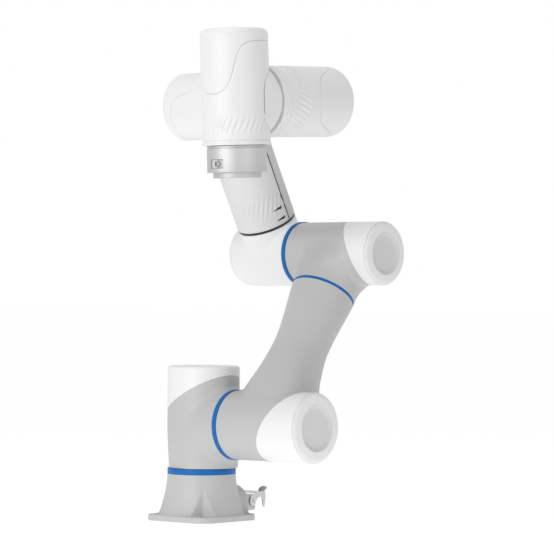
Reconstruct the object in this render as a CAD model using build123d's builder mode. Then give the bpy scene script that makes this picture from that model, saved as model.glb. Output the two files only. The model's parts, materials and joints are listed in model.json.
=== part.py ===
"""Collaborative robot arm with six turning joints, in the pose of the photograph.

The origin is the centre of the base's mounting face and +Z is up. The upper arm leans toward
+X, and the shoulder, elbow and first wrist axes run along Y. Every length is in millimetres.

Each joint is a journal on the port of the driven side that turns in a bore of its drive
housing. The drive housings are left solid, which stands for the sealed drives inside them.
"""

import os
from math import cos, pi, radians, sin, tan

from build123d import *

# Joint spacing of the arm
SHOULDER_HEIGHT = 130.0  # mounting face to shoulder axis
UPPER_ARM = 274.0  # shoulder axis to elbow axis
FOREARM = 228.0  # elbow axis to first wrist axis
WRIST_OFFSET = 127.0  # turret axis plane to second wrist axis, toward -Y
WRIST_STEP = 117.0  # second wrist centre to third wrist axis
TOOL_REACH = 100.0  # third wrist centre down to the tool face

# Rest pose, degrees from upright, positive toward +X
UPPER_LEAN = 32.9
FORE_LEAN = -28.1
WRIST_LEAN = -2.6

# Clearances
JOINT_GAP = 0.6  # between a turning housing and the port that it turns on
SEAT = 0.05  # round a piece that is pushed into a bore of its own body
RUNNING = 0.05  # round a journal or a pin that turns
COVER_GAP = 0.3  # between the forearm covers and the castings

# Journals: each is narrower than its port by a shoulder, which a light ring may sit on
PORT_SHOULDER = 6.0
JOURNAL = 12.0  # how far a journal runs on past the face of its port

# Base
PLATE = 113.6  # side of the square foot
PLATE_CORNER = 20.0
PLATE_THICK = 8.0
BASE_TOP = 62.4  # where the lower light ring sits
BASE_RADIUS = 46.1
FLARE_FOOT = 64.0  # radius of the flare where it meets the foot
BOLT_CIRCLE = 120.0
BOLT_HOLE = 4.5  # radius, for M8
POCKET_CORNER = 47.0  # turret axis to the upright corner of a bolt pocket
POCKET_ANGLE = 59.0  # half angle of a bolt pocket

# Widths of the light rings
BASE_RING = 8.0
SHOULDER_RING = 6.8
ELBOW_RING = 5.8
ARM_RING = 4.0

# Turret that carries the shoulder
TURRET_RADIUS = 46.4
TURRET_FOOT = 44.2  # radius just above the lower light ring
TURRET_SWELL = 118.0  # height where the turret reaches its full radius
TURRET_REACH = 6.0  # how far its section runs on toward the port
TURRET_TOP = 208.0
TURRET_SEAM = 166.0  # height of the lid seam on the axis
TURRET_SEAM_RISE = 26.0  # seam rise from the axis to the port side
TURRET_EDGE = 4.0
SHOULDER_PORT = 47.1  # radius of the shoulder port
SHOULDER_FACE = 67.7  # turret axis to the end of the shoulder port
PORT_ROOT_TALL = 56.0  # half height of the port where it leaves the turret

# Shoulder drive housing on the upper arm
SHOULDER_RADIUS = 46.5
SHOULDER_END = 205.5  # turret axis plane to the lid's end
SHOULDER_SEAM = 160.0
SHOULDER_SEAM_RISE = 29.0

# Elbow drive housing on the upper arm
ELBOW_RADIUS = 43.0
ELBOW_FACE = 54.5
ELBOW_END = 198.5
ELBOW_SEAM = 153.5
ELBOW_SEAM_RISE = 24.0

# Dished ends of the shoulder and elbow lids
CAP_EDGE = 4.0  # where the rounded edge starts, down from the end
BAND_DROP = 1.4
BAND_STEP = 4.4
DISH_SHARE = 0.67  # dish radius as a share of its housing's radius
DISH_DEPTH = 2.2
DISH_WALL = 3.0  # how far the dish's wall slopes inward

# Upper arm tube
ARM_RING_DROP = 65.5  # elbow axis down to the middle of the ring
ARM_RADIUS = 43.8
ARM_LINE = 117.2  # turret axis plane to the tube's centre line at the ring
ARM_BORE = 29.0  # radius of the tube's hollow
ARM_BORE_DEPTH = 140.0

# Forearm
FORE_HOUSING_RADIUS = 44.0
FORE_HOUSING_END = 57.0  # turret axis plane to its closed end
FORE_HOUSING_ROUND = 19.0
NECK_RADIUS = 37.5
NECK_TOP = 58.0  # elbow axis to the joint between neck and tube
NECK_SPIGOT = 8.0
TUBE_FLOOR = 30.0  # first wrist axis to the end of the tube's hollow
FORE_WALL = 5.0
COVER_RADIUS = 41.0
COVER_WALL = 2.6
COVER_FOOT = 52.0  # elbow axis to the lower rim of the covers
COVER_SPLIT = 0.5  # each cover's edge stands back from the seam by this
FORE_LINE = 4.0  # turret axis plane to the tube's centre line
VENT_LENGTH = 15.5
VENT_WIDTH = 2.6
VENT_PITCH = 15.0
VENT_HEIGHT = 59.5  # elbow axis to the lower vent
VENT_SIDE = 9.8  # seam to the middle of a vent

# Wrist housings, each with its lid at one end and its face at the other
WRIST_1_RADIUS = 46.0
WRIST_1_FACE = 80.5
WRIST_1_END = 76.0
WRIST_2_RADIUS = 47.2
WRIST_2_FACE = 71.0
WRIST_2_END = 73.0
WRIST_3_RADIUS = 44.6
WRIST_3_SKIRT = 46.0  # radius at its lower rim
SKIRT_TALL = 6.0
WRIST_3_FACE = 57.6
WRIST_3_END = 94.0
WRIST_PORT = 45.0  # radius of the wrist ports
WRIST_EDGE = 9.0
TONGUE_HALF = 33.5  # half width of the lid's tongue
TONGUE_CORNER = 14.0
TONGUE_FLARE = 9.0
TONGUE_BACK = 26.0  # module's axis to the flat behind the tongue
CAP_LEVEL = 17.0  # lid's end to the seam on the port side

# Tool flange, ISO 9409-1-50-4-M6
FLANGE_BODY = 39.2
FLANGE_BODY_END = 92.7
FLANGE_RADIUS = 31.5
PILOT_RADIUS = 15.75
PILOT_DEPTH = 6.2
TOOL_BOLT_CIRCLE = 50.0
TOOL_BOLT_RADIUS = 2.5  # tap drill of M6
TOOL_BOLT_DEPTH = 10.0
DOWEL_RADIUS = 3.0
DOWEL_DEPTH = 6.0

# Tool socket on the flange, for an M8 plug
SOCKET_WIDTH = 17.0
SOCKET_TALL = 12.0
SOCKET_BACK = 32.0  # third wrist axis to the flat that the socket is screwed to
SOCKET_DROP = 81.5  # third wrist centre down to the middle of the socket
SOCKET_RADIUS = 4.0
SOCKET_LENGTH = 6.0
SOCKET_WALL = 1.2
SOCKET_FLOOR = 1.0

# Base connector
PAD_HALF = 31.0
PAD_TOP = 46.0
PAD_ARCH = 22.0  # rise of the pad's round top
SHELL_WIDE = 34.0
SHELL_TALL = 22.0
SHELL_DEEP = 30.0
SHELL_HEIGHT = 20.0  # mounting face to the middle of the connector
SHELL_WALL = 2.4
SHELL_CORNER = 4.0
SHELL_FLANGE = 3.0
FLANGE_RIM = 5.0
INSERT_DEEP = 14.0
CONTACTS_WIDE = 5
CONTACTS_TALL = 2
CONTACT_PITCH = 5.0
CONTACT_ROW = 8.0
CONTACT_SIDE = 1.6
CONTACT_LENGTH = 8.0

# Lever that latches the plug, seen from the side
LEVER_THICK = 1.8
LEVER_GAP = 0.4  # between the hood and a cheek
LEVER_PIN = 2.2
LEVER_PIVOT = (83.0, 22.0)
LEVER_ARM = 5.0  # half height of a cheek at its pivot
LEVER_END = 111.0
CHEEK_TOP = 34.5
HOOK_WIDE = 6.0
HOOK_FOOT = 13.0
TAB_START = 99.5
TAB_TOP = 42.0

os.makedirs("parts", exist_ok=True)

# Joint places in the rest pose
upper_place = Location((0, 0, SHOULDER_HEIGHT), (0, UPPER_LEAN, 0))
fore_place = upper_place * Location((0, 0, UPPER_ARM), (0, FORE_LEAN - UPPER_LEAN, 0))
wrist_place = fore_place * Location((0, 0, FOREARM), (0, WRIST_LEAN - FORE_LEAN, 0))
wrist_2_place = wrist_place * Location((0, -WRIST_OFFSET, 0))
wrist_3_place = wrist_2_place * Location((-WRIST_STEP, 0, 0))


def write(sub_part, label, place=Location()):
    """Put a finished piece in its place on the arm and write its file."""
    sub_part.part = Part(sub_part.part.moved(place).wrapped)
    sub_part.part.label = label
    export_step(sub_part.part, f"parts/{label}.step")


def across(offset, height=0.0):
    """A plane across the Y axis that looks toward -Y, offset millimetres out."""
    return Plane(origin=(0, -offset, height), x_dir=(1, 0, 0), z_dir=(0, -1, 0))


def lying(height=0.0):
    """A plane for half sections of pieces turned about -Y: x is radius and y runs toward -Y."""
    return Plane(origin=(0, 0, height), x_dir=(1, 0, 0), z_dir=(0, 0, -1))


def turn(points, plane, mode=Mode.ADD):
    """Turn a closed outline of radius and height about the plane's own y direction."""
    with BuildSketch(plane) as profile:
        with BuildLine():
            Polyline(*points, close=True)
        make_face()
    revolve(profile.sketch, Axis(plane.origin, plane.y_dir), mode=mode)


def post(plane, radius, length, mode=Mode.ADD):
    """Add or cut a round length of the part being built, from the plane along its normal."""
    with BuildSketch(plane) as root:
        Circle(radius)
    extrude(root.sketch, amount=length, mode=mode)


def oval_points(half_x, half_y, middle_y, square, count=12):
    """Points of a rounded oval: square is 2 for an ellipse and more for flatter sides."""
    points = []
    for step in range(count):
        angle = 2 * pi * step / count
        c, s = cos(angle), sin(angle)
        x = half_x * abs(c) ** (2 / square) * (1 if c >= 0 else -1)
        y = half_y * abs(s) ** (2 / square) * (1 if s >= 0 else -1)
        points.append((x, middle_y + y))
    return points


def oval_loft(stations):
    """Loft through ovals: each station is height, half x, half y, middle y, squareness."""
    sections = []
    for height, half_x, half_y, middle_y, square in stations:
        with BuildSketch(Plane.XY.offset(height)) as section:
            with BuildLine():
                Spline(*oval_points(half_x, half_y, middle_y, square), periodic=True)
            make_face()
        sections.append(section.sketch.face())
    loft(sections)


def light_ring(label, radius, width, place):
    """A light ring on the shoulder of its port: its width runs along +Z."""
    with BuildPart() as ring:
        with BuildSketch():
            Circle(radius)
            Circle(radius - PORT_SHOULDER + SEAT, mode=Mode.SUBTRACT)
        extrude(amount=width)
    write(ring, label, place)


def capped_outline(radius, face, end):
    """Half section of a drive housing with a dished end, from its face to its end."""
    dish = radius * DISH_SHARE
    return [
        (0, face),
        (radius, face),
        (radius, end - CAP_EDGE),
        (radius - BAND_STEP, end - BAND_DROP),
        (dish, end),
        (dish - DISH_WALL, end - DISH_DEPTH),
        (0, end - DISH_DEPTH),
    ]


# Base: flared casting on a square foot


def flare_radius(height):
    """Radius of the base flare, a quarter ellipse that is upright at the top."""
    fall = min(max((BASE_TOP - height) / (BASE_TOP - PLATE_THICK), 0), 1)
    return BASE_RADIUS + (FLARE_FOOT - BASE_RADIUS) * (1 - (1 - fall**2) ** 0.5)


base_journal = BASE_RADIUS - PORT_SHOULDER
with BuildPart() as base_casting:
    with BuildSketch(Plane.XZ):
        with BuildLine():
            flare = Spline(*[(flare_radius(h), h) for h in (BASE_TOP, 42, 26, 14, PLATE_THICK)])
            Polyline(flare @ 1, (0, PLATE_THICK), (0, BASE_TOP), flare @ 0)
        make_face()
    revolve(axis=Axis.Z)
    with BuildSketch():
        RectangleRounded(PLATE, PLATE, PLATE_CORNER)
    extrude(amount=BASE_TOP, mode=Mode.INTERSECT)
    with BuildSketch():
        RectangleRounded(PLATE, PLATE, PLATE_CORNER)
    extrude(amount=PLATE_THICK)
    # Arched pad that carries the connector, flush with the side of the foot
    with BuildSketch(Plane.YZ):
        with BuildLine():
            pad_side = Polyline((-PAD_HALF, 0), (PAD_HALF, 0), (PAD_HALF, PAD_TOP - PAD_ARCH))
            pad_arch = ThreePointArc(pad_side @ 1, (0, PAD_TOP), (-PAD_HALF, PAD_TOP - PAD_ARCH))
            Line(pad_arch @ 1, pad_side @ 0)
        make_face()
    extrude(amount=PLATE / 2)
    # Pockets for the heads of the four bolts, and their holes
    pocket_reach = PLATE / 2
    pocket_side = pocket_reach * tan(radians(POCKET_ANGLE))
    with BuildSketch(Plane.XY.offset(PLATE_THICK)):
        with PolarLocations(POCKET_CORNER, 4, start_angle=45):
            Polygon(
                (0, 0), (pocket_reach, pocket_side), (pocket_reach, -pocket_side), align=None
            )
    extrude(amount=BASE_TOP, mode=Mode.SUBTRACT)
    with BuildSketch():
        with PolarLocations(BOLT_CIRCLE / 2, 4, start_angle=45):
            Circle(BOLT_HOLE)
    extrude(amount=PLATE_THICK, mode=Mode.SUBTRACT)
    post(Plane.XY.offset(BASE_TOP), base_journal, BASE_RING + JOURNAL)
write(base_casting, "base_casting")
light_ring("base_light_ring", BASE_RADIUS, BASE_RING, Location((0, 0, BASE_TOP)))

# Turret: upright drive housing with the shoulder port on its side
turret_foot = BASE_TOP + BASE_RING + JOINT_GAP
shoulder_journal = SHOULDER_PORT - PORT_SHOULDER


def turret_slot(height, radius):
    """Section of the turret, a circle drawn out toward the port."""
    with BuildSketch(Plane.XY.offset(height)) as section:
        with Locations((0, -TURRET_REACH / 2)):
            SlotCenterToCenter(TURRET_REACH, 2 * radius, rotation=90)
    return section.sketch.face()


with BuildPart() as turret:
    loft([turret_slot(turret_foot, TURRET_FOOT), turret_slot(TURRET_SWELL, TURRET_RADIUS)])
    extrude(turret_slot(TURRET_SWELL, TURRET_RADIUS), amount=TURRET_TOP - TURRET_SWELL)
    chamfer(turret.edges().group_by(Axis.Z)[-1], TURRET_EDGE)
    port_start = SHOULDER_FACE - SHOULDER_RING
    with BuildSketch(across(0, SHOULDER_HEIGHT)) as port_root:
        Ellipse(TURRET_RADIUS - 1, PORT_ROOT_TALL)
    with BuildSketch(across(port_start, SHOULDER_HEIGHT)) as port_end:
        Circle(SHOULDER_PORT)
    loft([port_root.sketch.face(), port_end.sketch.face()])
    post(across(port_start, SHOULDER_HEIGHT), shoulder_journal, SHOULDER_RING + JOURNAL)
    post(Plane.XY.offset(turret_foot), base_journal + RUNNING, JOURNAL, Mode.SUBTRACT)

turret_seam = Plane(
    origin=(0, 0, TURRET_SEAM), z_dir=(0, TURRET_SEAM_RISE / TURRET_RADIUS, 1)
)
with BuildPart() as turret_housing:
    add(turret.part)
    split(bisect_by=turret_seam, keep=Keep.BOTTOM)
write(turret_housing, "turret_housing")
with BuildPart() as turret_lid:
    add(turret.part)
    split(bisect_by=turret_seam, keep=Keep.TOP)
write(turret_lid, "turret_lid")
shoulder_step = Location(across(port_start, SHOULDER_HEIGHT))
light_ring("shoulder_light_ring", SHOULDER_PORT, SHOULDER_RING, shoulder_step)

# Upper arm: its frame has the shoulder axis at the origin and the elbow axis straight above
tube_top = UPPER_ARM - ARM_RING_DROP - ARM_RING / 2
tube_stations = [
    (0, SHOULDER_RADIUS - 0.5, 56, -125, 3.4),
    (48, 40, 49, -122, 2.8),
    (85, 37, 41, -120, 2.3),
    (130, 36, 37.5, -118.5, 2.0),
    (tube_top, ARM_RADIUS, ARM_RADIUS, -ARM_LINE, 2.0),
]
arm_spigot = ARM_RADIUS - PORT_SHOULDER
shoulder_open = SHOULDER_FACE + JOINT_GAP
with BuildPart() as shoulder_form:
    oval_loft(tube_stations)
    post(Plane((0, -ARM_LINE, tube_top)), arm_spigot, ARM_RING)
    post(Plane((0, -ARM_LINE, tube_top + ARM_RING)), ARM_BORE, -ARM_BORE_DEPTH, Mode.SUBTRACT)
    shoulder_drive = capped_outline(SHOULDER_RADIUS, shoulder_open, SHOULDER_END)
    turn(shoulder_drive, lying())
    post(across(shoulder_open), shoulder_journal + RUNNING, JOURNAL, Mode.SUBTRACT)
shoulder_seam = Plane(
    origin=(0, -SHOULDER_SEAM, 0), z_dir=(0, -1, -SHOULDER_SEAM_RISE / SHOULDER_RADIUS)
)
with BuildPart() as upper_arm_casting:
    add(shoulder_form.part)
    split(bisect_by=shoulder_seam, keep=Keep.BOTTOM)
write(upper_arm_casting, "upper_arm_casting", upper_place)
with BuildPart() as shoulder_lid:
    add(shoulder_form.part)
    split(bisect_by=shoulder_seam, keep=Keep.TOP)
write(shoulder_lid, "shoulder_lid", upper_place)
ring_place = upper_place * Location((0, -ARM_LINE, tube_top))
light_ring("upper_arm_light_ring", ARM_RADIUS, ARM_RING, ring_place)

elbow_journal = FORE_HOUSING_RADIUS - PORT_SHOULDER
elbow_open = ELBOW_FACE + JOINT_GAP
elbow_foot = tube_top + ARM_RING
elbow_stations = [
    (elbow_foot, ARM_RADIUS, ARM_RADIUS, -ARM_LINE, 2.0),
    (elbow_foot + 18, ARM_RADIUS - 0.8, ARM_RADIUS + 0.6, -ARM_LINE - 1, 2.1),
    (elbow_foot + 36, ELBOW_RADIUS - 0.4, 51, -121, 2.6),
    (UPPER_ARM, ELBOW_RADIUS - 0.6, 62, -124, 3.4),
]
with BuildPart() as elbow_form:
    oval_loft(elbow_stations)
    turn(capped_outline(ELBOW_RADIUS, elbow_open, ELBOW_END), lying(UPPER_ARM))
    post(across(elbow_open, UPPER_ARM), elbow_journal + RUNNING, JOURNAL, Mode.SUBTRACT)
elbow_seam = Plane(
    origin=(0, -ELBOW_SEAM, UPPER_ARM), z_dir=(0, -1, ELBOW_SEAM_RISE / ELBOW_RADIUS)
)
with BuildPart() as elbow_housing:
    add(elbow_form.part)
    split(bisect_by=elbow_seam, keep=Keep.BOTTOM)
write(elbow_housing, "elbow_housing", upper_place)
with BuildPart() as elbow_lid:
    add(elbow_form.part)
    split(bisect_by=elbow_seam, keep=Keep.TOP)
write(elbow_lid, "elbow_lid", upper_place)

# Forearm: its frame has the elbow axis at the origin and the first wrist axis straight above
ring_start = ELBOW_FACE - ELBOW_RING
fore_line = Plane((0, -FORE_LINE, 0))
round_mid = FORE_HOUSING_ROUND * (1 - cos(pi / 4))
with BuildPart() as forearm_housing:
    turn(
        [
            (0, -FORE_HOUSING_END),
            (FORE_HOUSING_RADIUS - FORE_HOUSING_ROUND, -FORE_HOUSING_END),
            (FORE_HOUSING_RADIUS - round_mid, -FORE_HOUSING_END + round_mid),
            (FORE_HOUSING_RADIUS, -FORE_HOUSING_END + FORE_HOUSING_ROUND),
            (FORE_HOUSING_RADIUS, ring_start),
            (elbow_journal, ring_start),
            (elbow_journal, ELBOW_FACE + JOURNAL),
            (0, ELBOW_FACE + JOURNAL),
        ],
        lying(),
    )
    post(fore_line, NECK_RADIUS, NECK_TOP)
    post(fore_line, NECK_RADIUS - FORE_WALL - SEAT, NECK_TOP + NECK_SPIGOT)
write(forearm_housing, "forearm_housing", fore_place)
elbow_step = fore_place * Location(across(ring_start))
light_ring("elbow_light_ring", FORE_HOUSING_RADIUS, ELBOW_RING, elbow_step)

with BuildPart() as cover_form:
    with BuildSketch(fore_line.offset(COVER_FOOT)):
        Circle(COVER_RADIUS)
        Circle(COVER_RADIUS - COVER_WALL, mode=Mode.SUBTRACT)
    extrude(amount=FOREARM - COVER_FOOT)
    trim_radius = WRIST_1_RADIUS + COVER_GAP
    post(across(-WRIST_1_END, FOREARM), trim_radius, WRIST_1_END + WRIST_1_FACE, Mode.SUBTRACT)
with BuildPart() as forearm_front_cover:
    add(cover_form.part)
    split(bisect_by=Plane.YZ.offset(-COVER_SPLIT), keep=Keep.BOTTOM)
    # Two vents beside the seam
    with BuildSketch(Plane.XZ.offset(FORE_LINE)):
        with Locations((-VENT_SIDE, VENT_HEIGHT), (-VENT_SIDE, VENT_HEIGHT + VENT_PITCH)):
            SlotOverall(VENT_LENGTH, VENT_WIDTH)
    extrude(amount=COVER_RADIUS, mode=Mode.SUBTRACT)
write(forearm_front_cover, "forearm_front_cover", fore_place)
with BuildPart() as forearm_rear_cover:
    add(cover_form.part)
    split(bisect_by=Plane.YZ.offset(COVER_SPLIT), keep=Keep.TOP)
write(forearm_rear_cover, "forearm_rear_cover", fore_place)


# Wrist modules: in a module's own frame +Z is the lid's end and +X is the side of its port


def wrist_outline(radius, skirt, face, end, journal):
    """Half section of a wrist housing, with the bore that its output turns in."""
    bore = journal + RUNNING
    edge_mid = WRIST_EDGE * (1 - cos(pi / 4))
    return [
        (0, JOURNAL - face),
        (bore, JOURNAL - face),
        (bore, -face),
        (skirt, -face),
        (radius, SKIRT_TALL - face),
        (radius, end - WRIST_EDGE),
        (radius - edge_mid, end - edge_mid),
        (radius - WRIST_EDGE, end),
        (0, end),
    ]


def lid_tool(radius, end):
    """Solid that holds all of a wrist lid: the cap, and the tongue down its far side."""
    seam = end - CAP_LEVEL
    far = radius + WRIST_EDGE
    with BuildPart() as tool:
        with BuildSketch(Plane.YZ.offset(-far)):
            with BuildLine():
                tongue = FilletPolyline(
                    (-far, seam),
                    (-TONGUE_HALF, seam),
                    (-TONGUE_HALF, 0),
                    (TONGUE_HALF, 0),
                    (TONGUE_HALF, seam),
                    (far, seam),
                    radius=[TONGUE_FLARE, TONGUE_CORNER, TONGUE_CORNER, TONGUE_FLARE],
                )
                Polyline(tongue @ 1, (far, end + CAP_LEVEL), (-far, end + CAP_LEVEL), tongue @ 0)
            make_face()
        extrude(amount=far)
        with Locations((-TONGUE_BACK / 2, 0, seam / 2)):
            Box(TONGUE_BACK, 2 * TONGUE_HALF, seam, mode=Mode.SUBTRACT)
        with Locations((far / 2, 0, seam + CAP_LEVEL)):
            Box(far, 2 * far, 2 * CAP_LEVEL)
    return tool.part


wrist_journal = WRIST_PORT - PORT_SHOULDER
flange_journal = FLANGE_BODY - PORT_SHOULDER

# First wrist housing, cast in one with the forearm tube
first_wrist = Location(Plane((0, 0, FOREARM), x_dir=(0, 0, -1), z_dir=(0, 1, 0)))
wrist_1_outline = wrist_outline(
    WRIST_1_RADIUS, WRIST_1_RADIUS, WRIST_1_FACE, WRIST_1_END, wrist_journal
)
with BuildPart() as wrist_1_form:
    tube_plane = Plane(origin=(FOREARM - NECK_TOP, 0, -FORE_LINE), z_dir=(-1, 0, 0))
    post(tube_plane, NECK_RADIUS, FOREARM - NECK_TOP)
    tube_hollow = FOREARM - NECK_TOP - TUBE_FLOOR
    post(tube_plane, NECK_RADIUS - FORE_WALL, tube_hollow, Mode.SUBTRACT)
    turn(wrist_1_outline, Plane.XZ)
wrist_1_tool = lid_tool(WRIST_1_RADIUS, WRIST_1_END)
with BuildPart() as forearm_casting:
    add(wrist_1_form.part)
    add(wrist_1_tool, mode=Mode.SUBTRACT)
write(forearm_casting, "forearm_casting", fore_place * first_wrist)
with BuildPart() as wrist_1_lid:
    add(wrist_1_form.part)
    add(wrist_1_tool, mode=Mode.INTERSECT)
write(wrist_1_lid, "wrist_1_lid", fore_place * first_wrist)


def wrist_module(name, outline, radius, end, port_face, place):
    """Write the housing and the lid of a wrist that is carried by a port on its own side."""
    with BuildPart() as form:
        turn(outline, Plane.XZ)
        post(Plane.YZ, WRIST_PORT, port_face)
        post(Plane.YZ.offset(port_face), radius + WRIST_EDGE, WRIST_EDGE, Mode.SUBTRACT)
        post(Plane.YZ, wrist_journal, port_face + JOURNAL)
    tool = lid_tool(radius, end)
    with BuildPart() as housing:
        add(form.part)
        add(tool, mode=Mode.SUBTRACT)
    write(housing, f"{name}_housing", place)
    with BuildPart() as lid:
        add(form.part)
        add(tool, mode=Mode.INTERSECT)
    write(lid, f"{name}_lid", place)


second_wrist = wrist_2_place * Location(Plane((0, 0, 0), x_dir=(0, 1, 0), z_dir=(1, 0, 0)))
second_outline = wrist_outline(
    WRIST_2_RADIUS, WRIST_2_RADIUS, WRIST_2_FACE, WRIST_2_END, wrist_journal
)
second_port = WRIST_OFFSET - WRIST_1_FACE - JOINT_GAP
wrist_module("wrist_2", second_outline, WRIST_2_RADIUS, WRIST_2_END, second_port, second_wrist)

third_outline = wrist_outline(
    WRIST_3_RADIUS, WRIST_3_SKIRT, WRIST_3_FACE, WRIST_3_END, flange_journal
)
third_port = WRIST_STEP - WRIST_2_FACE - JOINT_GAP
wrist_module("wrist_3", third_outline, WRIST_3_RADIUS, WRIST_3_END, third_port, wrist_3_place)

# Tool flange: its frame is the third wrist's
flange_top = -WRIST_3_FACE - JOINT_GAP
with BuildPart() as tool_flange:
    turn(
        [
            (0, flange_top + JOURNAL),
            (flange_journal, flange_top + JOURNAL),
            (flange_journal, flange_top),
            (FLANGE_BODY, flange_top),
            (FLANGE_BODY, -FLANGE_BODY_END),
            (FLANGE_RADIUS, -FLANGE_BODY_END),
            (FLANGE_RADIUS, -TOOL_REACH),
            (PILOT_RADIUS, -TOOL_REACH),
            (PILOT_RADIUS, -TOOL_REACH + PILOT_DEPTH),
            (0, -TOOL_REACH + PILOT_DEPTH),
        ],
        Plane.XZ,
    )
    with BuildSketch(Plane.XY.offset(-TOOL_REACH)):
        with PolarLocations(TOOL_BOLT_CIRCLE / 2, 4, start_angle=45):
            Circle(TOOL_BOLT_RADIUS)
    extrude(amount=TOOL_BOLT_DEPTH, mode=Mode.SUBTRACT)
    with BuildSketch(Plane.XY.offset(-TOOL_REACH)):
        with PolarLocations(TOOL_BOLT_CIRCLE / 2, 1):
            Circle(DOWEL_RADIUS)
    extrude(amount=DOWEL_DEPTH, mode=Mode.SUBTRACT)
    # Flat that the tool socket is screwed to
    with BuildSketch(Plane.YZ.offset(-SOCKET_BACK)):
        with Locations((0, -SOCKET_DROP)):
            Rectangle(SOCKET_WIDTH, SOCKET_TALL)
    extrude(amount=-FLANGE_BODY, mode=Mode.SUBTRACT)
write(tool_flange, "tool_flange", wrist_3_place)

with BuildPart() as tool_socket:
    socket_face = Plane(origin=(-SOCKET_BACK, 0, -SOCKET_DROP), z_dir=(-1, 0, 0))
    post(socket_face, SOCKET_RADIUS, SOCKET_LENGTH)
    socket_floor = socket_face.offset(SOCKET_FLOOR)
    post(socket_floor, SOCKET_RADIUS - SOCKET_WALL, SOCKET_LENGTH, Mode.SUBTRACT)
write(tool_socket, "tool_socket", wrist_3_place)

# Base connector: a hooded socket on the pad, with a lever that latches the plug
pad_face = PLATE / 2
shell_plane = Plane(origin=(pad_face, 0, SHELL_HEIGHT), x_dir=(0, 1, 0), z_dir=(1, 0, 0))
with BuildPart() as connector_housing:
    with BuildSketch(shell_plane):
        Rectangle(SHELL_WIDE + 2 * FLANGE_RIM, SHELL_TALL + 2 * FLANGE_RIM)
    extrude(amount=SHELL_FLANGE)
    with BuildSketch(shell_plane):
        RectangleRounded(SHELL_WIDE, SHELL_TALL, SHELL_CORNER)
    extrude(amount=SHELL_FLANGE + SHELL_DEEP)
    with BuildSketch(shell_plane.offset(SHELL_FLANGE)):
        inner_corner = SHELL_CORNER - SHELL_WALL
        RectangleRounded(SHELL_WIDE - 2 * SHELL_WALL, SHELL_TALL - 2 * SHELL_WALL, inner_corner)
    extrude(amount=SHELL_DEEP, mode=Mode.SUBTRACT)
    # Pins that the lever turns on
    pin_x, pin_z = LEVER_PIVOT
    for side in (-1, 1):
        pin_plane = Plane(origin=(pin_x, side * SHELL_WIDE / 2, pin_z), z_dir=(0, side, 0))
        post(pin_plane, LEVER_PIN, LEVER_GAP + LEVER_THICK)
write(connector_housing, "connector_housing")

with BuildPart() as connector_insert:
    with BuildSketch(shell_plane.offset(SHELL_FLANGE)):
        insert_wide = SHELL_WIDE - 2 * SHELL_WALL - 2 * SEAT
        insert_tall = SHELL_TALL - 2 * SHELL_WALL - 2 * SEAT
        RectangleRounded(insert_wide, insert_tall, SHELL_CORNER - SHELL_WALL)
    extrude(amount=INSERT_DEEP)
    with BuildSketch(shell_plane.offset(SHELL_FLANGE + INSERT_DEEP)):
        with GridLocations(CONTACT_PITCH, CONTACT_ROW, CONTACTS_WIDE, CONTACTS_TALL):
            Rectangle(CONTACT_SIDE, CONTACT_SIDE)
    extrude(amount=CONTACT_LENGTH)
write(connector_insert, "connector_insert")

# Lever: two cheeks beside the hood, each ending in a hook, joined by a raised thumb tab
cheek_inside = SHELL_WIDE / 2 + LEVER_GAP
tab_foot = CHEEK_TOP - LEVER_THICK
with BuildPart() as connector_lever:
    for side in (-1, 1):
        cheek_start = cheek_inside if side < 0 else -cheek_inside - LEVER_THICK
        with BuildSketch(Plane.XZ.offset(cheek_start)):
            with BuildLine():
                Polyline(
                    (pin_x - LEVER_ARM, pin_z - LEVER_ARM),
                    (pin_x - LEVER_ARM, pin_z + LEVER_ARM),
                    (TAB_START, CHEEK_TOP),
                    (LEVER_END, CHEEK_TOP),
                    (LEVER_END, HOOK_FOOT),
                    (LEVER_END - HOOK_WIDE, HOOK_FOOT),
                    (LEVER_END - HOOK_WIDE, pin_z),
                    (pin_x + LEVER_ARM, pin_z - LEVER_ARM),
                    close=True,
                )
            make_face()
            with Locations(LEVER_PIVOT):
                Circle(LEVER_PIN + RUNNING, mode=Mode.SUBTRACT)
        extrude(amount=LEVER_THICK)
    with BuildSketch(Plane.XZ.offset(-cheek_inside)):
        with BuildLine():
            Polyline(
                (TAB_START, tab_foot),
                (LEVER_END - LEVER_THICK, TAB_TOP - LEVER_THICK),
                (LEVER_END, TAB_TOP),
                (LEVER_END - LEVER_THICK, TAB_TOP),
                (TAB_START, CHEEK_TOP),
                close=True,
            )
        make_face()
    extrude(amount=2 * cheek_inside)
write(connector_lever, "connector_lever")
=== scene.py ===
# %% [markdown]
# Collaborative robot arm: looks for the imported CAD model.
#
# The arm has cast housings painted satin grey and satin white, blue rings at four joints, and
# a bare metal tool flange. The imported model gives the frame: where each piece is and which body
# it moves with. Plain cylinders and sharp meetings are then dressed as the castings they stand
# for, with soft blends, rolled edges, pressed grooves and thin seams.
#
# A piece could be edited in place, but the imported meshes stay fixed. So each finished piece is
# built anew in its own millimetres and then set in its place.

import json
import math

import bmesh
import bpy
from mathutils import Matrix, Vector
from mathutils.kdtree import KDTree


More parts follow.
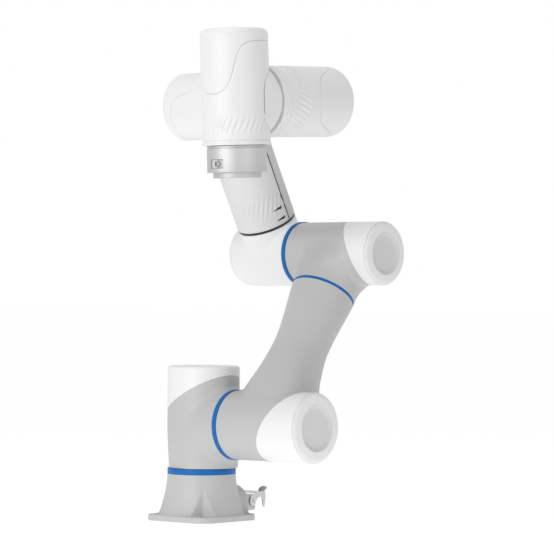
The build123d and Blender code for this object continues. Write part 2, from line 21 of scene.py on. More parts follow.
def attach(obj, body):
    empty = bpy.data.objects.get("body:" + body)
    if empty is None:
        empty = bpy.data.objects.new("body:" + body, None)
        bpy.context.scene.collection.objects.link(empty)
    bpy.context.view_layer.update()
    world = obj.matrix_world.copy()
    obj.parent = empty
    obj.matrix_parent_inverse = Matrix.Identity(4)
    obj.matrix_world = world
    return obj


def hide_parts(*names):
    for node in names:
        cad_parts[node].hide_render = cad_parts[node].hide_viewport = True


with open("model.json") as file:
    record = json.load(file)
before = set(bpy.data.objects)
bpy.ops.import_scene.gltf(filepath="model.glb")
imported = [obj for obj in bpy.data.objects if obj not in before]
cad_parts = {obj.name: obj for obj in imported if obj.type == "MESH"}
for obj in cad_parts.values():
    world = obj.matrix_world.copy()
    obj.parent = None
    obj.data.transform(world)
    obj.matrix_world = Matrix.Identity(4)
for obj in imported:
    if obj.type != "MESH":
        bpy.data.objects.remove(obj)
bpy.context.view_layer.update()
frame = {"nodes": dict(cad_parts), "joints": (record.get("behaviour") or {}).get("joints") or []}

# %% [markdown]
# Each housing is easiest to draw in its own frame, with millimetres along its own axis. The
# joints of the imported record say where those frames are, so nothing here depends on how the
# arm happens to be folded.

# %% Frames of the links, read from the joints
MM = 0.001
X_AXIS = Vector((1, 0, 0))
Y_AXIS = Vector((0, 1, 0))
Z_AXIS = Vector((0, 0, 1))
joints = {joint["name"]: joint for joint in frame["joints"]}


def joint_point(name):
    """Where a joint's axis is pinned, in metres."""
    return Vector(joints[name]["pos_m"])


def joint_axis(name):
    """The direction that a joint turns about."""
    return Vector(joints[name]["axis"]).normalized()


def frame_at(origin, z_axis, x_axis):
    """Matrix from a piece's own millimetres to the scene's metres."""
    z = z_axis.normalized()
    x = (x_axis - z * x_axis.dot(z)).normalized()
    y = z.cross(x)
    place = Matrix.Identity(4)
    for row in range(3):
        place[row][0] = x[row] * MM
        place[row][1] = y[row] * MM
        place[row][2] = z[row] * MM
        place[row][3] = origin[row]
    return place


shoulder = joint_point("shoulder_swing")
elbow = joint_point("elbow_bend")
wrist_1 = joint_point("first_wrist_turn")
wrist_2 = joint_point("second_wrist_turn")
wrist_3 = joint_point("third_wrist_turn")
upper_z = elbow - shoulder
fore_z = wrist_1 - elbow
wrist_x = joint_axis("second_wrist_turn")
wrist_z = joint_axis("third_wrist_turn")

WORLD = frame_at(Vector(), Z_AXIS, X_AXIS)
UPPER = frame_at(shoulder, upper_z, Y_AXIS.cross(upper_z))
FORE = frame_at(elbow, fore_z, Y_AXIS.cross(fore_z))
# Drive housings point toward -Y, with the link's own upward direction as their y
SHOULDER_DRIVE = frame_at(shoulder, -Y_AXIS, Y_AXIS.cross(upper_z))
ELBOW_DRIVE = frame_at(elbow, -Y_AXIS, Y_AXIS.cross(upper_z))
FORE_DRIVE = frame_at(elbow, -Y_AXIS, Y_AXIS.cross(fore_z))
# A wrist module has its lid at +Z and its port at +X
MODULE_1 = frame_at(wrist_1, Y_AXIS, -fore_z)
MODULE_2 = frame_at(wrist_2, wrist_x, Y_AXIS)
MODULE_3 = frame_at(wrist_3, wrist_z, wrist_x)
print("upper arm %.0f mm, forearm %.0f mm" % (upper_z.length / MM, fore_z.length / MM))

# %% [markdown]
# The photograph was taken with a long lens from almost level with the middle of the arm. Its
# angle and distance were found by fitting the joints of the model to the picture. A camera that
# tracks an empty would do, but a matrix built from three directions also gives the small roll.

# %% Camera at the photograph's angle
AZIMUTH = math.radians(-48.69)
ELEVATION = math.radians(-0.27)
ROLL = math.radians(0.24)
DISTANCE = 3.97164
LENS = 191.27
AIM_HEIGHT = 0.350
AIM_RIGHT = 0.10052
AIM_UP = -0.02227

back = Vector((
    math.sin(AZIMUTH) * math.cos(ELEVATION),
    -math.cos(AZIMUTH) * math.cos(ELEVATION),
    math.sin(ELEVATION),
))
right = Vector((math.cos(AZIMUTH), math.sin(AZIMUTH), 0))
up = back.cross(right)
aim = Vector((0, 0, AIM_HEIGHT)) + right * AIM_RIGHT + up * AIM_UP
rolled_right = right * math.cos(ROLL) + up * math.sin(ROLL)
rolled_up = up * math.cos(ROLL) - right * math.sin(ROLL)

camera = bpy.data.objects.new("camera", bpy.data.cameras.new("camera"))
camera.data.lens = LENS
camera.data.sensor_width = 36
camera.data.clip_end = 100
turn = Matrix((rolled_right, rolled_up, back)).transposed().to_4x4()
camera.matrix_world = Matrix.Translation(aim + back * DISTANCE) @ turn
bpy.context.scene.collection.objects.link(camera)
bpy.context.scene.camera = camera
print("camera at", [round(c, 3) for c in camera.location])

# %% [markdown]
# The world, the floor's paint, the shader group and the flutes are all node trees. In the editor
# they would be wired by hand. A script adds each node and each link, so two small helpers take
# up what repeats.

# %% Helpers: nodes and links
def new_node(tree, kind, inputs=None, **settings):
    """Add a node. inputs are values for its sockets, and settings are its own properties."""
    node = tree.nodes.new(kind)
    for key, value in settings.items():
        setattr(node, key, value)
    for key, value in (inputs or {}).items():
        node.inputs[key].default_value = value
    return node


def wired(tree, *links):
    """Make links in a tree, each from an output to an input."""
    for output, socket in links:
        tree.links.new(output, socket)


print("helpers for node trees are ready")

# %% [markdown]
# Product pictures of this kind are lit by large soft sources in a white room, so undersides are
# nearly as bright as fronts. The world gives that even light. More light would also make the
# background white, but it would bleach the paint. So Light Path shows the camera, and whatever
# mirrors it, a background of strength 1 in place of the sky that lights the arm.

# %% White studio
SKY_LEVEL = 0.42
WHITE = (1, 1, 1, 1)

scene = bpy.context.scene
scene.view_settings.view_transform = "Standard"
scene.world = bpy.data.worlds.new("studio")
scene.world.use_nodes = True
studio = scene.world.node_tree
sky = studio.nodes["Background"]
sky.inputs["Color"].default_value = WHITE
sky.inputs["Strength"].default_value = SKY_LEVEL
seen = new_node(studio, "ShaderNodeBackground", {"Color": WHITE, "Strength": 1.0})
path = new_node(studio, "ShaderNodeLightPath")
either = new_node(studio, "ShaderNodeMath", operation="MAXIMUM")
any_of_three = new_node(studio, "ShaderNodeMath", operation="MAXIMUM")
choose = new_node(studio, "ShaderNodeMixShader")
wired(
    studio,
    (path.outputs["Is Camera Ray"], either.inputs[0]),
    (path.outputs["Is Glossy Ray"], either.inputs[1]),
    (either.outputs[0], any_of_three.inputs[0]),
    (path.outputs["Is Transmission Ray"], any_of_three.inputs[1]),
    (any_of_three.outputs[0], choose.inputs[0]),
    (sky.outputs[0], choose.inputs[1]),
    (seen.outputs[0], choose.inputs[2]),
    (choose.outputs[0], studio.nodes["World Output"].inputs["Surface"]),
)
print("sky level", SKY_LEVEL)

# %% [markdown]
# Three square lamps then shape the castings: a large softbox on the left, a weak one on the
# right and a small one above. The left sides come out brightest, and the shading runs softly
# round each tube. A sun or a spot lamp would leave hard shadows, which the photograph hasn't.

# %% Softboxes
def softbox(name, place, side, power):
    """A square lamp that faces the arm. place is metres right, toward the camera and up."""
    centre = aim + right * place[0] + back * place[1] + Z_AXIS * place[2]
    lamp = bpy.data.objects.new(name, bpy.data.lights.new(name, "AREA"))
    lamp.data.size = side
    lamp.data.energy = power
    lamp.location = centre
    lamp.rotation_euler = (aim - centre).to_track_quat("-Z", "Y").to_euler()
    scene.collection.objects.link(lamp)
    print(name, "is", side, "m wide, with", power, "W")


softbox("softbox_left", (-1.75, 1.85, 0.1), side=2.0, power=31.0)
softbox("softbox_right", (1.2, 1.7, 0.5), side=1.4, power=4.4)
softbox("softbox_top", (-0.2, 0.2, 1.1), side=0.7, power=2.6)

# %% [markdown]
# The floor is one wide sheet that glows faintly, as a lit table does, which lights the castings
# from below. Its glow on the arm falls off with distance, while the camera sees one even pale
# tone. A matte shader is added to the glow, so the floor still takes the arm's soft shadow.

# %% Floor
FLOOR_GLOW = 0.90
GLOW_NEAR = 0.98
GLOW_FAR = 0.6
FALL_START = 0.2
FALL_END = 1.6
FLOOR_TONE = 0.22
HALF_FLOOR = 30.0
FLOOR_DROP = 0.0003

floor_mesh = bpy.data.meshes.new("floor")
corners = [(x * HALF_FLOOR, y * HALF_FLOOR) for x, y in ((-1, -1), (1, -1), (1, 1), (-1, 1))]
floor_mesh.from_pydata([(x, y, -FLOOR_DROP) for x, y in corners], [], [(0, 1, 2, 3)])
floor = bpy.data.objects.new("floor", floor_mesh)
scene.collection.objects.link(floor)
floor_paint = bpy.data.materials.new("floor_white")
floor_paint.use_nodes = True
tree = floor_paint.node_tree
tree.nodes.clear()
spot = new_node(tree, "ShaderNodeTexCoord")
reach = new_node(tree, "ShaderNodeVectorMath", operation="LENGTH")
fall = new_node(tree, "ShaderNodeMapRange", {
    "From Min": FALL_START, "From Max": FALL_END, "To Min": GLOW_NEAR, "To Max": GLOW_FAR,
}, interpolation_type="SMOOTHSTEP")
path = new_node(tree, "ShaderNodeLightPath")
level = new_node(tree, "ShaderNodeMapRange", {"To Max": FLOOR_GLOW})
glow = new_node(tree, "ShaderNodeEmission")
matte = new_node(tree, "ShaderNodeBsdfDiffuse", {"Color": (FLOOR_TONE, FLOOR_TONE, FLOOR_TONE, 1)})
both = new_node(tree, "ShaderNodeAddShader")
floor_out = new_node(tree, "ShaderNodeOutputMaterial")
wired(
    tree,
    (spot.outputs["Object"], reach.inputs[0]),
    (reach.outputs["Value"], fall.inputs["Value"]),
    (fall.outputs[0], level.inputs["To Min"]),
    (path.outputs["Is Camera Ray"], level.inputs["Value"]),
    (level.outputs[0], glow.inputs["Strength"]),
    (glow.outputs[0], both.inputs[0]),
    (matte.outputs[0], both.inputs[1]),
    (both.outputs[0], floor_out.inputs["Surface"]),
)
floor.data.materials.append(floor_paint)
print("floor glows at", FLOOR_GLOW, "to the camera")

# %% [markdown]
# Satin paint on a casting is never one flat colour. The film varies a little in tone and in
# gloss, and has a fine skin like orange peel. One shader group gives all three from noise, and
# each paint, plastic and metal places it with its own values. It puts out only a colour, a
# roughness and a height, and the shader itself stays in the material.

# %% Shader group: a surface that varies a little
def film_group():
    """Group with tone, gloss and skin from noise on Object coordinates."""
    tree = bpy.data.node_groups.new("surface_film", "ShaderNodeTree")
    for name, kind, value in (
        ("Light Color", "NodeSocketColor", (0.8, 0.8, 0.8, 1)),
        ("Dark Color", "NodeSocketColor", (0.7, 0.7, 0.7, 1)),
        ("Patch Scale", "NodeSocketFloat", 14.0),
        ("Skin Scale", "NodeSocketFloat", 900.0),
        ("Stretch", "NodeSocketVector", (1, 1, 1)),
        ("Roughness", "NodeSocketFloat", 0.4),
        ("Roughness Spread", "NodeSocketFloat", 0.06),
    ):
        socket = tree.interface.new_socket(name, in_out="INPUT", socket_type=kind)
        socket.default_value = value
    for name, kind in (
        ("Color", "NodeSocketColor"),
        ("Roughness", "NodeSocketFloat"),
        ("Height", "NodeSocketFloat"),
    ):
        tree.interface.new_socket(name, in_out="OUTPUT", socket_type=kind)
    given = new_node(tree, "NodeGroupInput")
    made = new_node(tree, "NodeGroupOutput")
    where = new_node(tree, "ShaderNodeTexCoord")
    stretched = new_node(tree, "ShaderNodeVectorMath", operation="MULTIPLY")
    patches = new_node(tree, "ShaderNodeTexNoise", {"Detail": 3})
    skin = new_node(tree, "ShaderNodeTexNoise", {"Detail": 2})
    tone = new_node(tree, "ShaderNodeMix", data_type="RGBA")
    centred = new_node(tree, "ShaderNodeMath", {1: 0.5}, operation="SUBTRACT")
    spread = new_node(tree, "ShaderNodeMath", operation="MULTIPLY_ADD")
    wired(
        tree,
        (where.outputs["Object"], stretched.inputs[0]),
        (given.outputs["Stretch"], stretched.inputs[1]),
        (where.outputs["Object"], patches.inputs["Vector"]),
        (given.outputs["Patch Scale"], patches.inputs["Scale"]),
        (stretched.outputs[0], skin.inputs["Vector"]),
        (given.outputs["Skin Scale"], skin.inputs["Scale"]),
        (patches.outputs["Fac"], tone.inputs["Factor"]),
        (given.outputs["Light Color"], tone.inputs["A"]),
        (given.outputs["Dark Color"], tone.inputs["B"]),
        (patches.outputs["Fac"], centred.inputs[0]),
        (centred.outputs[0], spread.inputs[0]),
        (given.outputs["Roughness Spread"], spread.inputs[1]),
        (given.outputs["Roughness"], spread.inputs[2]),
        (tone.outputs["Result"], made.inputs["Color"]),
        (spread.outputs[0], made.inputs["Roughness"]),
        (skin.outputs["Fac"], made.inputs["Height"]),
    )
    return tree


FILM = film_group()
print("group", FILM.name, "with", len(FILM.nodes), "nodes")

# %% [markdown]
# The tones come from looking at the photograph: the grey castings are a neutral mid grey, the
# white pieces nearly white, the lid discs a pale grey, and the rings a deep blue. The flange is
# turned metal, so its skin is stretched round its axis, and it is metallic. One function makes
# them all, because only their values differ.

# %% Materials
SKIN_HEIGHT = 0.0004


def finish(name, light, dark, roughness, bump, **more):
    """A material on the film group. light and dark are grey levels or colours."""
    material = bpy.data.materials.new(name)
    material.use_nodes = True
    tree = material.node_tree
    shader = tree.nodes["Principled BSDF"]
    film = new_node(tree, "ShaderNodeGroup", node_tree=FILM)
    for socket, value in (("Light Color", light), ("Dark Color", dark)):
        colour = (value, value, value) if isinstance(value, float) else value
        film.inputs[socket].default_value = (*colour, 1)
    film.inputs["Roughness"].default_value = roughness
    for key, value in more.items():
        socket = key.replace("_", " ")
        node = film if socket in film.inputs else shader
        node.inputs[socket].default_value = value
    relief = new_node(tree, "ShaderNodeBump", {"Strength": bump, "Distance": SKIN_HEIGHT})
    wired(
        tree,
        (film.outputs["Color"], shader.inputs["Base Color"]),
        (film.outputs["Roughness"], shader.inputs["Roughness"]),
        (film.outputs["Height"], relief.inputs["Height"]),
        (relief.outputs["Normal"], shader.inputs["Normal"]),
    )
    return material


GREY_PAINT = finish("grey_paint", 0.545, 0.515, 0.42, 0.05)
WHITE_PAINT = finish("white_paint", 0.880, 0.845, 0.38, 0.05)
WHITE_PLASTIC = finish("white_plastic", 0.755, 0.720, 0.45, 0.04)
# The rear cover's plastic is the white plastic made darker: painted shade for the forearm's side away
# from the lamps.
SHADED_COVER_PLASTIC = finish("cover_plastic_painted_shade", 0.650, 0.615, 0.45, 0.04)
DISC_GREY = finish("disc_grey", 0.725, 0.695, 0.50, 0.05)
RING_BLUE = finish(
    "ring_blue", (0.004, 0.148, 0.475), (0.003, 0.128, 0.415), 0.45, 0.02, Specular_IOR_Level=0.25
)
FLANGE_METAL = finish(
    "flange_metal", 0.585, 0.540, 0.50, 0.10, Metallic=0.8, Stretch=(1, 1, 14), Skin_Scale=260.0
)
STEEL = finish("bright_steel", 0.62, 0.55, 0.28, 0.05, Metallic=1.0)
CAST_METAL = finish("cast_metal", 0.54, 0.46, 0.45, 0.20, Metallic=0.6, Skin_Scale=1400.0)
GRIP_GREY = finish("grip_grey", 0.36, 0.30, 0.50, 0.10)
# Black plastic for the connector's insert, and also painted shade in the covers' gaps.
BLACK_PLASTIC_AND_SHADE = finish("black_plastic_and_painted_shade", 0.030, 0.022, 0.50, 0.10)
# A dark grey used only as painted shade, in the crease round the third wrist's port.
PORT_SHADE_GREY = finish("dark_plastic", 0.16, 0.12, 0.50, 0.10)
print("materials:", len(bpy.data.materials))

# %% [markdown]
# Most housings are turned shapes, so they start as a half section that is swept round an axis.
# Corners of a casting are rolled, not sharp. A bevel modifier could do that, but here the
# section's own corners are rounded first, which keeps the mesh even for the cuts that follow.

# %% Helper: a half section with rolled corners
def rolled(corners, steps=5):
    """Points of a half section. A corner is (radius, height) or (radius, height, roll)."""
    points = []
    last = len(corners) - 1
    for index, corner in enumerate(corners):
        here = Vector(corner[:2])
        roll = corner[2] if len(corner) > 2 else 0
        if not roll or index in (0, last):
            points.append(here)
            continue
        to_last = (Vector(corners[index - 1][:2]) - here).normalized()
        to_next = (Vector(corners[index + 1][:2]) - here).normalized()
        half = to_last.angle(to_next) / 2
        reach = roll / math.tan(half)
        start = here + to_last * reach
        end = here + to_next * reach
        centre = here + (to_last + to_next).normalized() * (roll / math.sin(half))
        a, b = start - centre, end - centre
        sweep = a.angle_signed(b)
        for step in range(steps + 1):
            angle = -sweep * step / steps
            c, s = math.cos(angle), math.sin(angle)
            points.append(centre + Vector((a.x * c - a.y * s, a.x * s + a.y * c)))
    return points


def divided(points, low, high, pitch):
    """The same section with more points where its height lies between low and high."""
    result = [points[0]]
    for a, b in zip(points, points[1:]):
        span = abs(b.y - a.y)
        if span > pitch:
            marks = [low + pitch * i for i in range(int((high - low) / pitch) + 1)]
            inside = [h for h in marks if min(a.y, b.y) < h < max(a.y, b.y)]
            inside.sort(reverse=b.y < a.y)
            result += [a.lerp(b, (h - a.y) / (b.y - a.y)) for h in inside]
        result.append(b)
    return result


def turned(name, points, steps=128):
    """Sweep a half section round Z. It starts and ends on the axis, or is a closed ring."""
    mesh = bmesh.new()
    rows = []
    for point in points:
        if point.x < 1e-6:
            rows.append([mesh.verts.new((0, 0, point.y))])
        else:
            rows.append([
                mesh.verts.new((
                    point.x * math.cos(2 * math.pi * i / steps),
                    point.x * math.sin(2 * math.pi * i / steps),
                    point.y,
                ))
                for i in range(steps)
            ])
    pairs = list(zip(rows, rows[1:]))
    if len(rows[0]) > 1:
        pairs.append((rows[-1], rows[0]))
    for one, two in pairs:
        for i in range(steps):
            j = (i + 1) % steps
            corners = [one[i % len(one)], one[j % len(one)], two[j % len(two)], two[i % len(two)]]
            face = [v for k, v in enumerate(corners) if v not in corners[:k]]
            if len(face) > 2:
                mesh.faces.new(face)
    return from_bmesh(name, mesh)


def from_bmesh(name, mesh):
    """Close a bmesh into an object whose faces all point outwards."""
    bmesh.ops.remove_doubles(mesh, verts=mesh.verts, dist=1e-5)
    bmesh.ops.recalc_face_normals(mesh, faces=mesh.faces)
    data = bpy.data.meshes.new(name)
    mesh.to_mesh(data)
    mesh.free()
    piece = bpy.data.objects.new(name, data)
    bpy.context.scene.collection.objects.link(piece)
    return piece


print("helpers for turned pieces are ready")

# %% [markdown]
# Cuts and joins use Blender's exact Boolean, applied at once, so that every piece ends as a
# plain mesh. Straight cuts use a bisect instead, because it leaves the cleanest rim.

# %% Helpers: cut, join, trim and set in place
def applied(piece):
    """Turn a piece and its modifiers into a plain mesh."""
    bpy.context.view_layer.update()
    graph = bpy.context.evaluated_depsgraph_get()
    data = bpy.data.meshes.new_from_object(piece.evaluated_get(graph))
    piece.modifiers.clear()
    piece.data = data
    return piece


def combined(piece, tool, operation):
    """Cut a tool from a piece, join it on, or keep what they share."""
    cutter = piece.modifiers.new("cut", "BOOLEAN")
    cutter.operation = operation
    cutter.solver = "EXACT"
    cutter.object = tool
    applied(piece)
    bpy.data.objects.remove(tool)
    return piece


def copied(piece, name):
    """A second piece with its own copy of the mesh."""
    twin = bpy.data.objects.new(name, piece.data.copy())
    bpy.context.scene.collection.objects.link(twin)
    return twin


def trimmed(piece, point, normal):
    """Cut away what lies beyond a plane, and close the cut."""
    mesh = bmesh.new()
    mesh.from_mesh(piece.data)
    found = bmesh.ops.bisect_plane(
        mesh, geom=mesh.verts[:] + mesh.edges[:] + mesh.faces[:],
        plane_co=Vector(point), plane_no=Vector(normal).normalized(), clear_outer=True,
    )
    rim = [e for e in found["geom_cut"] if isinstance(e, bmesh.types.BMEdge)]
    bmesh.ops.holes_fill(mesh, edges=rim, sides=0)
    bmesh.ops.recalc_face_normals(mesh, faces=mesh.faces)
    mesh.to_mesh(piece.data)
    mesh.free()
    return piece


def block(name, low, high):
    """A plain box between two corners, used as a tool for cuts or as the start of a piece."""
    mesh = bmesh.new()
    bmesh.ops.create_cube(mesh, size=1)
    size = Vector(high) - Vector(low)
    middle = (Vector(high) + Vector(low)) / 2
    place = Matrix.Translation(middle) @ Matrix.Diagonal((*size, 1))
    bmesh.ops.transform(mesh, matrix=place, verts=mesh.verts)
    return from_bmesh(name, mesh)


def drum(name, radius, low, high, steps=128, place=Matrix.Identity(4)):
    """A plain cylinder along Z, used as a tool or as the start of a piece."""
    corners = [Vector(p) for p in ((0, low), (radius, low), (radius, high), (0, high))]
    piece = turned(name, corners, steps)
    piece.data.transform(place)
    return piece


def finished(piece, place, body, material, nodes=(), sharp=32):
    """Set a piece in its place, give it its finish and hang it on its body."""
    piece.data.transform(place)
    piece.data.materials.clear()
    piece.data.materials.append(material)
    piece.data.shade_smooth()
    piece.data.set_sharp_from_angle(angle=math.radians(sharp))
    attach(piece, body)
    if nodes:
        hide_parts(*nodes)
    print(piece.name, "has", len(piece.data.polygons), "faces")
    return piece


print("helpers for cuts are ready")

# %% [markdown]
# Where the arm tube meets its drive housing, the casting has a wide soft blend. CAD would roll
# a ball along the crease. In Blender the joined shape is remeshed into small even squares, and
# only the squares near the crease are relaxed, so the rest keeps its true size. Straight rims
# are cut after that, so they stay crisp.

# %% Helper: soft blends along inner creases
def blended(piece, reach, voxel, passes, angle=18):
    """Remesh a joined shape in squares of a voxel's size, and relax it near its inner creases."""
    mesh = bmesh.new()
    mesh.from_mesh(piece.data)
    limit = math.radians(angle)
    folds = [
        e for e in mesh.edges
        if len(e.link_faces) == 2 and e.calc_face_angle_signed(0) < -limit
    ]
    crease = [(e.verts[0].co + e.verts[1].co) / 2 for e in folds]
    crease += [v.co.copy() for e in folds for v in e.verts]
    mesh.free()
    tree = KDTree(len(crease))
    for index, point in enumerate(crease):
        tree.insert(point, index)
    tree.balance()
    remesh = piece.modifiers.new("even", "REMESH")
    remesh.mode = "VOXEL"
    remesh.voxel_size = voxel
    applied(piece)
    group = piece.vertex_groups.new(name="near_crease")
    count = 0
    for vertex in piece.data.vertices:
        distance = tree.find(vertex.co)[2] if crease else reach
        share = max(0.0, 1 - distance / reach)
        if share > 0:
            group.add([vertex.index], share * share * (3 - 2 * share), "REPLACE")
            count += 1
    relax = piece.modifiers.new("relax", "SMOOTH")
    relax.factor = 0.5
    relax.iterations = passes
    relax.vertex_group = group.name
    calm = piece.modifiers.new("calm", "SMOOTH")
    calm.factor = 0.5
    calm.iterations = 3
    applied(piece)
    piece.vertex_groups.clear()
    print(piece.name, "blended,", count, "points near its creases")
    return piece


print("helper for blends is ready")

# %% [markdown]
# The white wrist housings and the forearm covers carry a band of short slanted flutes. Each
# flute is pressed into the skin and fades out at both ends. They follow a rule: so many round
# the axis, each turned a little along it. Geometry Nodes move the skin inwards by that rule,
# with the count, the band, the slant and the depth as named inputs.

# %% Geometry Nodes: pressed flutes round an axis
FLUTE_POWER = 1.6
SKIN_TOLERANCE = 0.3


def flute_tree():
    """Node tree that presses slanted flutes into a turned skin."""
    tree = bpy.data.node_groups.new("pressed_flutes", "GeometryNodeTree")
    tree.interface.new_socket("Geometry", in_out="INPUT", socket_type="NodeSocketGeometry")
    for name in ("Count", "Skin Radius", "Low End", "High End", "Twist", "Depth"):
        tree.interface.new_socket(name, in_out="INPUT", socket_type="NodeSocketFloat")
    tree.interface.new_socket("Material", in_out="INPUT", socket_type="NodeSocketMaterial")
    tree.interface.new_socket("Geometry", in_out="OUTPUT", socket_type="NodeSocketGeometry")
    given = new_node(tree, "NodeGroupInput").outputs
    made = new_node(tree, "NodeGroupOutput")

    def step(operation, a, b=None, c=None):
        """One step of arithmetic. A number is set, and a socket is linked."""
        node = new_node(tree, "ShaderNodeMath", operation=operation)
        for socket, value in zip(node.inputs, (a, b, c)):
            if value is None:
                continue
            if isinstance(value, (int, float)):
                socket.default_value = value
            else:
                tree.links.new(value, socket)
        return node.outputs[0]

    place = new_node(tree, "GeometryNodeInputPosition")
    parts = new_node(tree, "ShaderNodeSeparateXYZ")
    wired(tree, (place.outputs[0], parts.inputs[0]))
    x, y, z = parts.outputs
    radius = step("SQRT", step("ADD", step("MULTIPLY", x, x), step("MULTIPLY", y, y)))
    angle = step("ARCTAN2", y, x)
    band = step("SUBTRACT", given["High End"], given["Low End"])
    climb = step("SUBTRACT", z, given["Low End"])
    share = step("DIVIDE", climb, band)
    inside = step("MULTIPLY", share, step("SUBTRACT", 1.0, share))
    fade = step("MULTIPLY", step("MAXIMUM", inside, 0.0), 4.0)
    slanted = step("SUBTRACT", angle, step("MULTIPLY", climb, given["Twist"]))
    wave = step("COSINE", step("MULTIPLY", slanted, given["Count"]))
    flute = step("POWER", step("MULTIPLY_ADD", wave, 0.5, 0.5), FLUTE_POWER)
    skin = step("GREATER_THAN", radius, step("SUBTRACT", given["Skin Radius"], SKIN_TOLERANCE))
    depth = step("MULTIPLY", step("MULTIPLY", flute, fade), given["Depth"])
    inward = step("DIVIDE", step("MULTIPLY", step("MULTIPLY", depth, skin), -1.0), radius)
    offset = new_node(tree, "ShaderNodeCombineXYZ")
    move = new_node(tree, "GeometryNodeSetPosition")
    realize = new_node(tree, "GeometryNodeRealizeInstances")
    paint = new_node(tree, "GeometryNodeSetMaterial")
    wired(
        tree,
        (step("MULTIPLY", x, inward), offset.inputs[0]),
        (step("MULTIPLY", y, inward), offset.inputs[1]),
        (given["Geometry"], move.inputs["Geometry"]),
        (offset.outputs[0], move.inputs["Offset"]),
        (move.outputs[0], realize.inputs[0]),
        (realize.outputs[0], paint.inputs["Geometry"]),
        (given["Material"], paint.inputs["Material"]),
        (paint.outputs[0], made.inputs[0]),
    )
    return tree


FLUTES = flute_tree()
print("group", FLUTES.name, "with", len(FLUTES.nodes), "nodes")

# %% [markdown]
# A Geometry Nodes modifier is set by each input's identifier, before the piece is first
# evaluated. Its result is then kept as a plain mesh, because cuts follow on it. The count comes
# from the wanted pitch, rounded, so that the flutes close evenly round the piece.

# %% Helper: flutes on a turned piece
FLUTE_SLANT = math.radians(23)


def with_inputs(piece, tree, values):
    """Run a Geometry Nodes tree on a piece and keep its result as a plain mesh."""
    modifier = piece.modifiers.new(tree.name, "NODES")
    modifier.node_group = tree
    for item in tree.interface.items_tree:
        if item.item_type == "SOCKET" and item.in_out == "INPUT" and item.name in values:
            modifier[item.identifier] = values[item.name]
    return applied(piece)


def fluted(piece, radius, low, high, pitch, depth, material):
    """Press a band of flutes into a turned piece."""
    count = round(2 * math.pi * radius / pitch)
    with_inputs(piece, FLUTES, {
        "Count": float(count), "Skin Radius": radius, "Low End": low, "High End": high,
        "Twist": math.tan(FLUTE_SLANT) / radius, "Depth": depth, "Material": material,
    })
    print(piece.name, "has", count, "flutes")
    return piece


print("helper for flutes is ready")

# %% [markdown]
# The four blue rings sit on a shoulder of the casting below them. They are plain blue plastic
# with a small roll on each rim. Each is a rectangle swept round its axis, with its inside left
# open for the casting that carries it. Their places come from the joints, and their faces are
# the driving sizes of the castings that follow.

# %% Light rings
RING_RADIAL = 5.95
RING_ROLL = 0.4
BASE_TOP = 62.4
BASE_RADIUS = 46.1
BASE_RING = 8.0
SHOULDER_PORT = 47.1
SHOULDER_FACE = 67.7
SHOULDER_RING = 6.8
ARM_RADIUS = 43.8
ARM_RING = 4.0
ARM_RING_DROP = 65.5
ARM_LINE = 117.2
FORE_RADIUS = 44.0
ELBOW_FACE = 54.5
ELBOW_RING = 5.8
UPPER_ARM = upper_z.length / MM
base_ring_top = BASE_TOP + BASE_RING
port_start = SHOULDER_FACE - SHOULDER_RING
tube_top = UPPER_ARM - ARM_RING_DROP - ARM_RING / 2
ring_start = ELBOW_FACE - ELBOW_RING
TURRET_DRIVE = frame_at(shoulder, -Y_AXIS, X_AXIS)
TUBE_LINE = UPPER @ Matrix.Translation((0, -ARM_LINE, 0))


def light_ring(name, radius, low, high, place, body):
    """A ring of blue plastic that replaces its CAD node."""
    inner = radius - RING_RADIAL
    section = rolled([
        (inner, low), (radius, low, RING_ROLL), (radius, high, RING_ROLL), (inner, high), (inner, low),
    ], 3)[:-1]
    ring = turned(name + "_skin", section, 160)
    return finished(ring, place, body, RING_BLUE, [name])


light_ring("base_light_ring", BASE_RADIUS, BASE_TOP, base_ring_top, WORLD, "base")
light_ring("shoulder_light_ring", SHOULDER_PORT, port_start, SHOULDER_FACE, TURRET_DRIVE, "turret")
light_ring("upper_arm_light_ring", ARM_RADIUS, tube_top, tube_top + ARM_RING, TUBE_LINE, "upper_arm")
light_ring("elbow_light_ring", FORE_RADIUS, ring_start, ELBOW_FACE, FORE_DRIVE, "forearm")

# %% [markdown]
# The shoulder and elbow drives end in white lids. Each lid's seam with its casting is a slanted
# plane, and its end has a fine groove at the rim, a gently domed band, and a dish with a
# separate grey bowl. The lid is turned first and then cut by the seam's plane, because a slanted
# end is hard to model directly and easy to cut.

# %% Lids of the shoulder and elbow drives
SEAM_GAP = 0.25
CAP_EDGE = 4.0
BAND_DROP = 1.4
BAND_STEP = 4.4
BAND_ROLL = 9.0
FINE_ROLL = 0.3
DISH_SHARE = 0.67
BOWL_DEPTH = 4.2
BOWL_WALL = 5.0
BOWL_SKIN = 0.8
GROOVE_WIDE = 1.3
GROOVE_DEEP = 1.0
LID_BACK = 75.0
SHOULDER_RADIUS = 46.5
SHOULDER_END = 205.5
SHOULDER_SEAM = 160.0
SHOULDER_SLOPE = -29.0 / SHOULDER_RADIUS
ELBOW_RADIUS = 43.0
ELBOW_END = 198.5
ELBOW_SEAM = 153.5
ELBOW_SLOPE = 24.0 / ELBOW_RADIUS


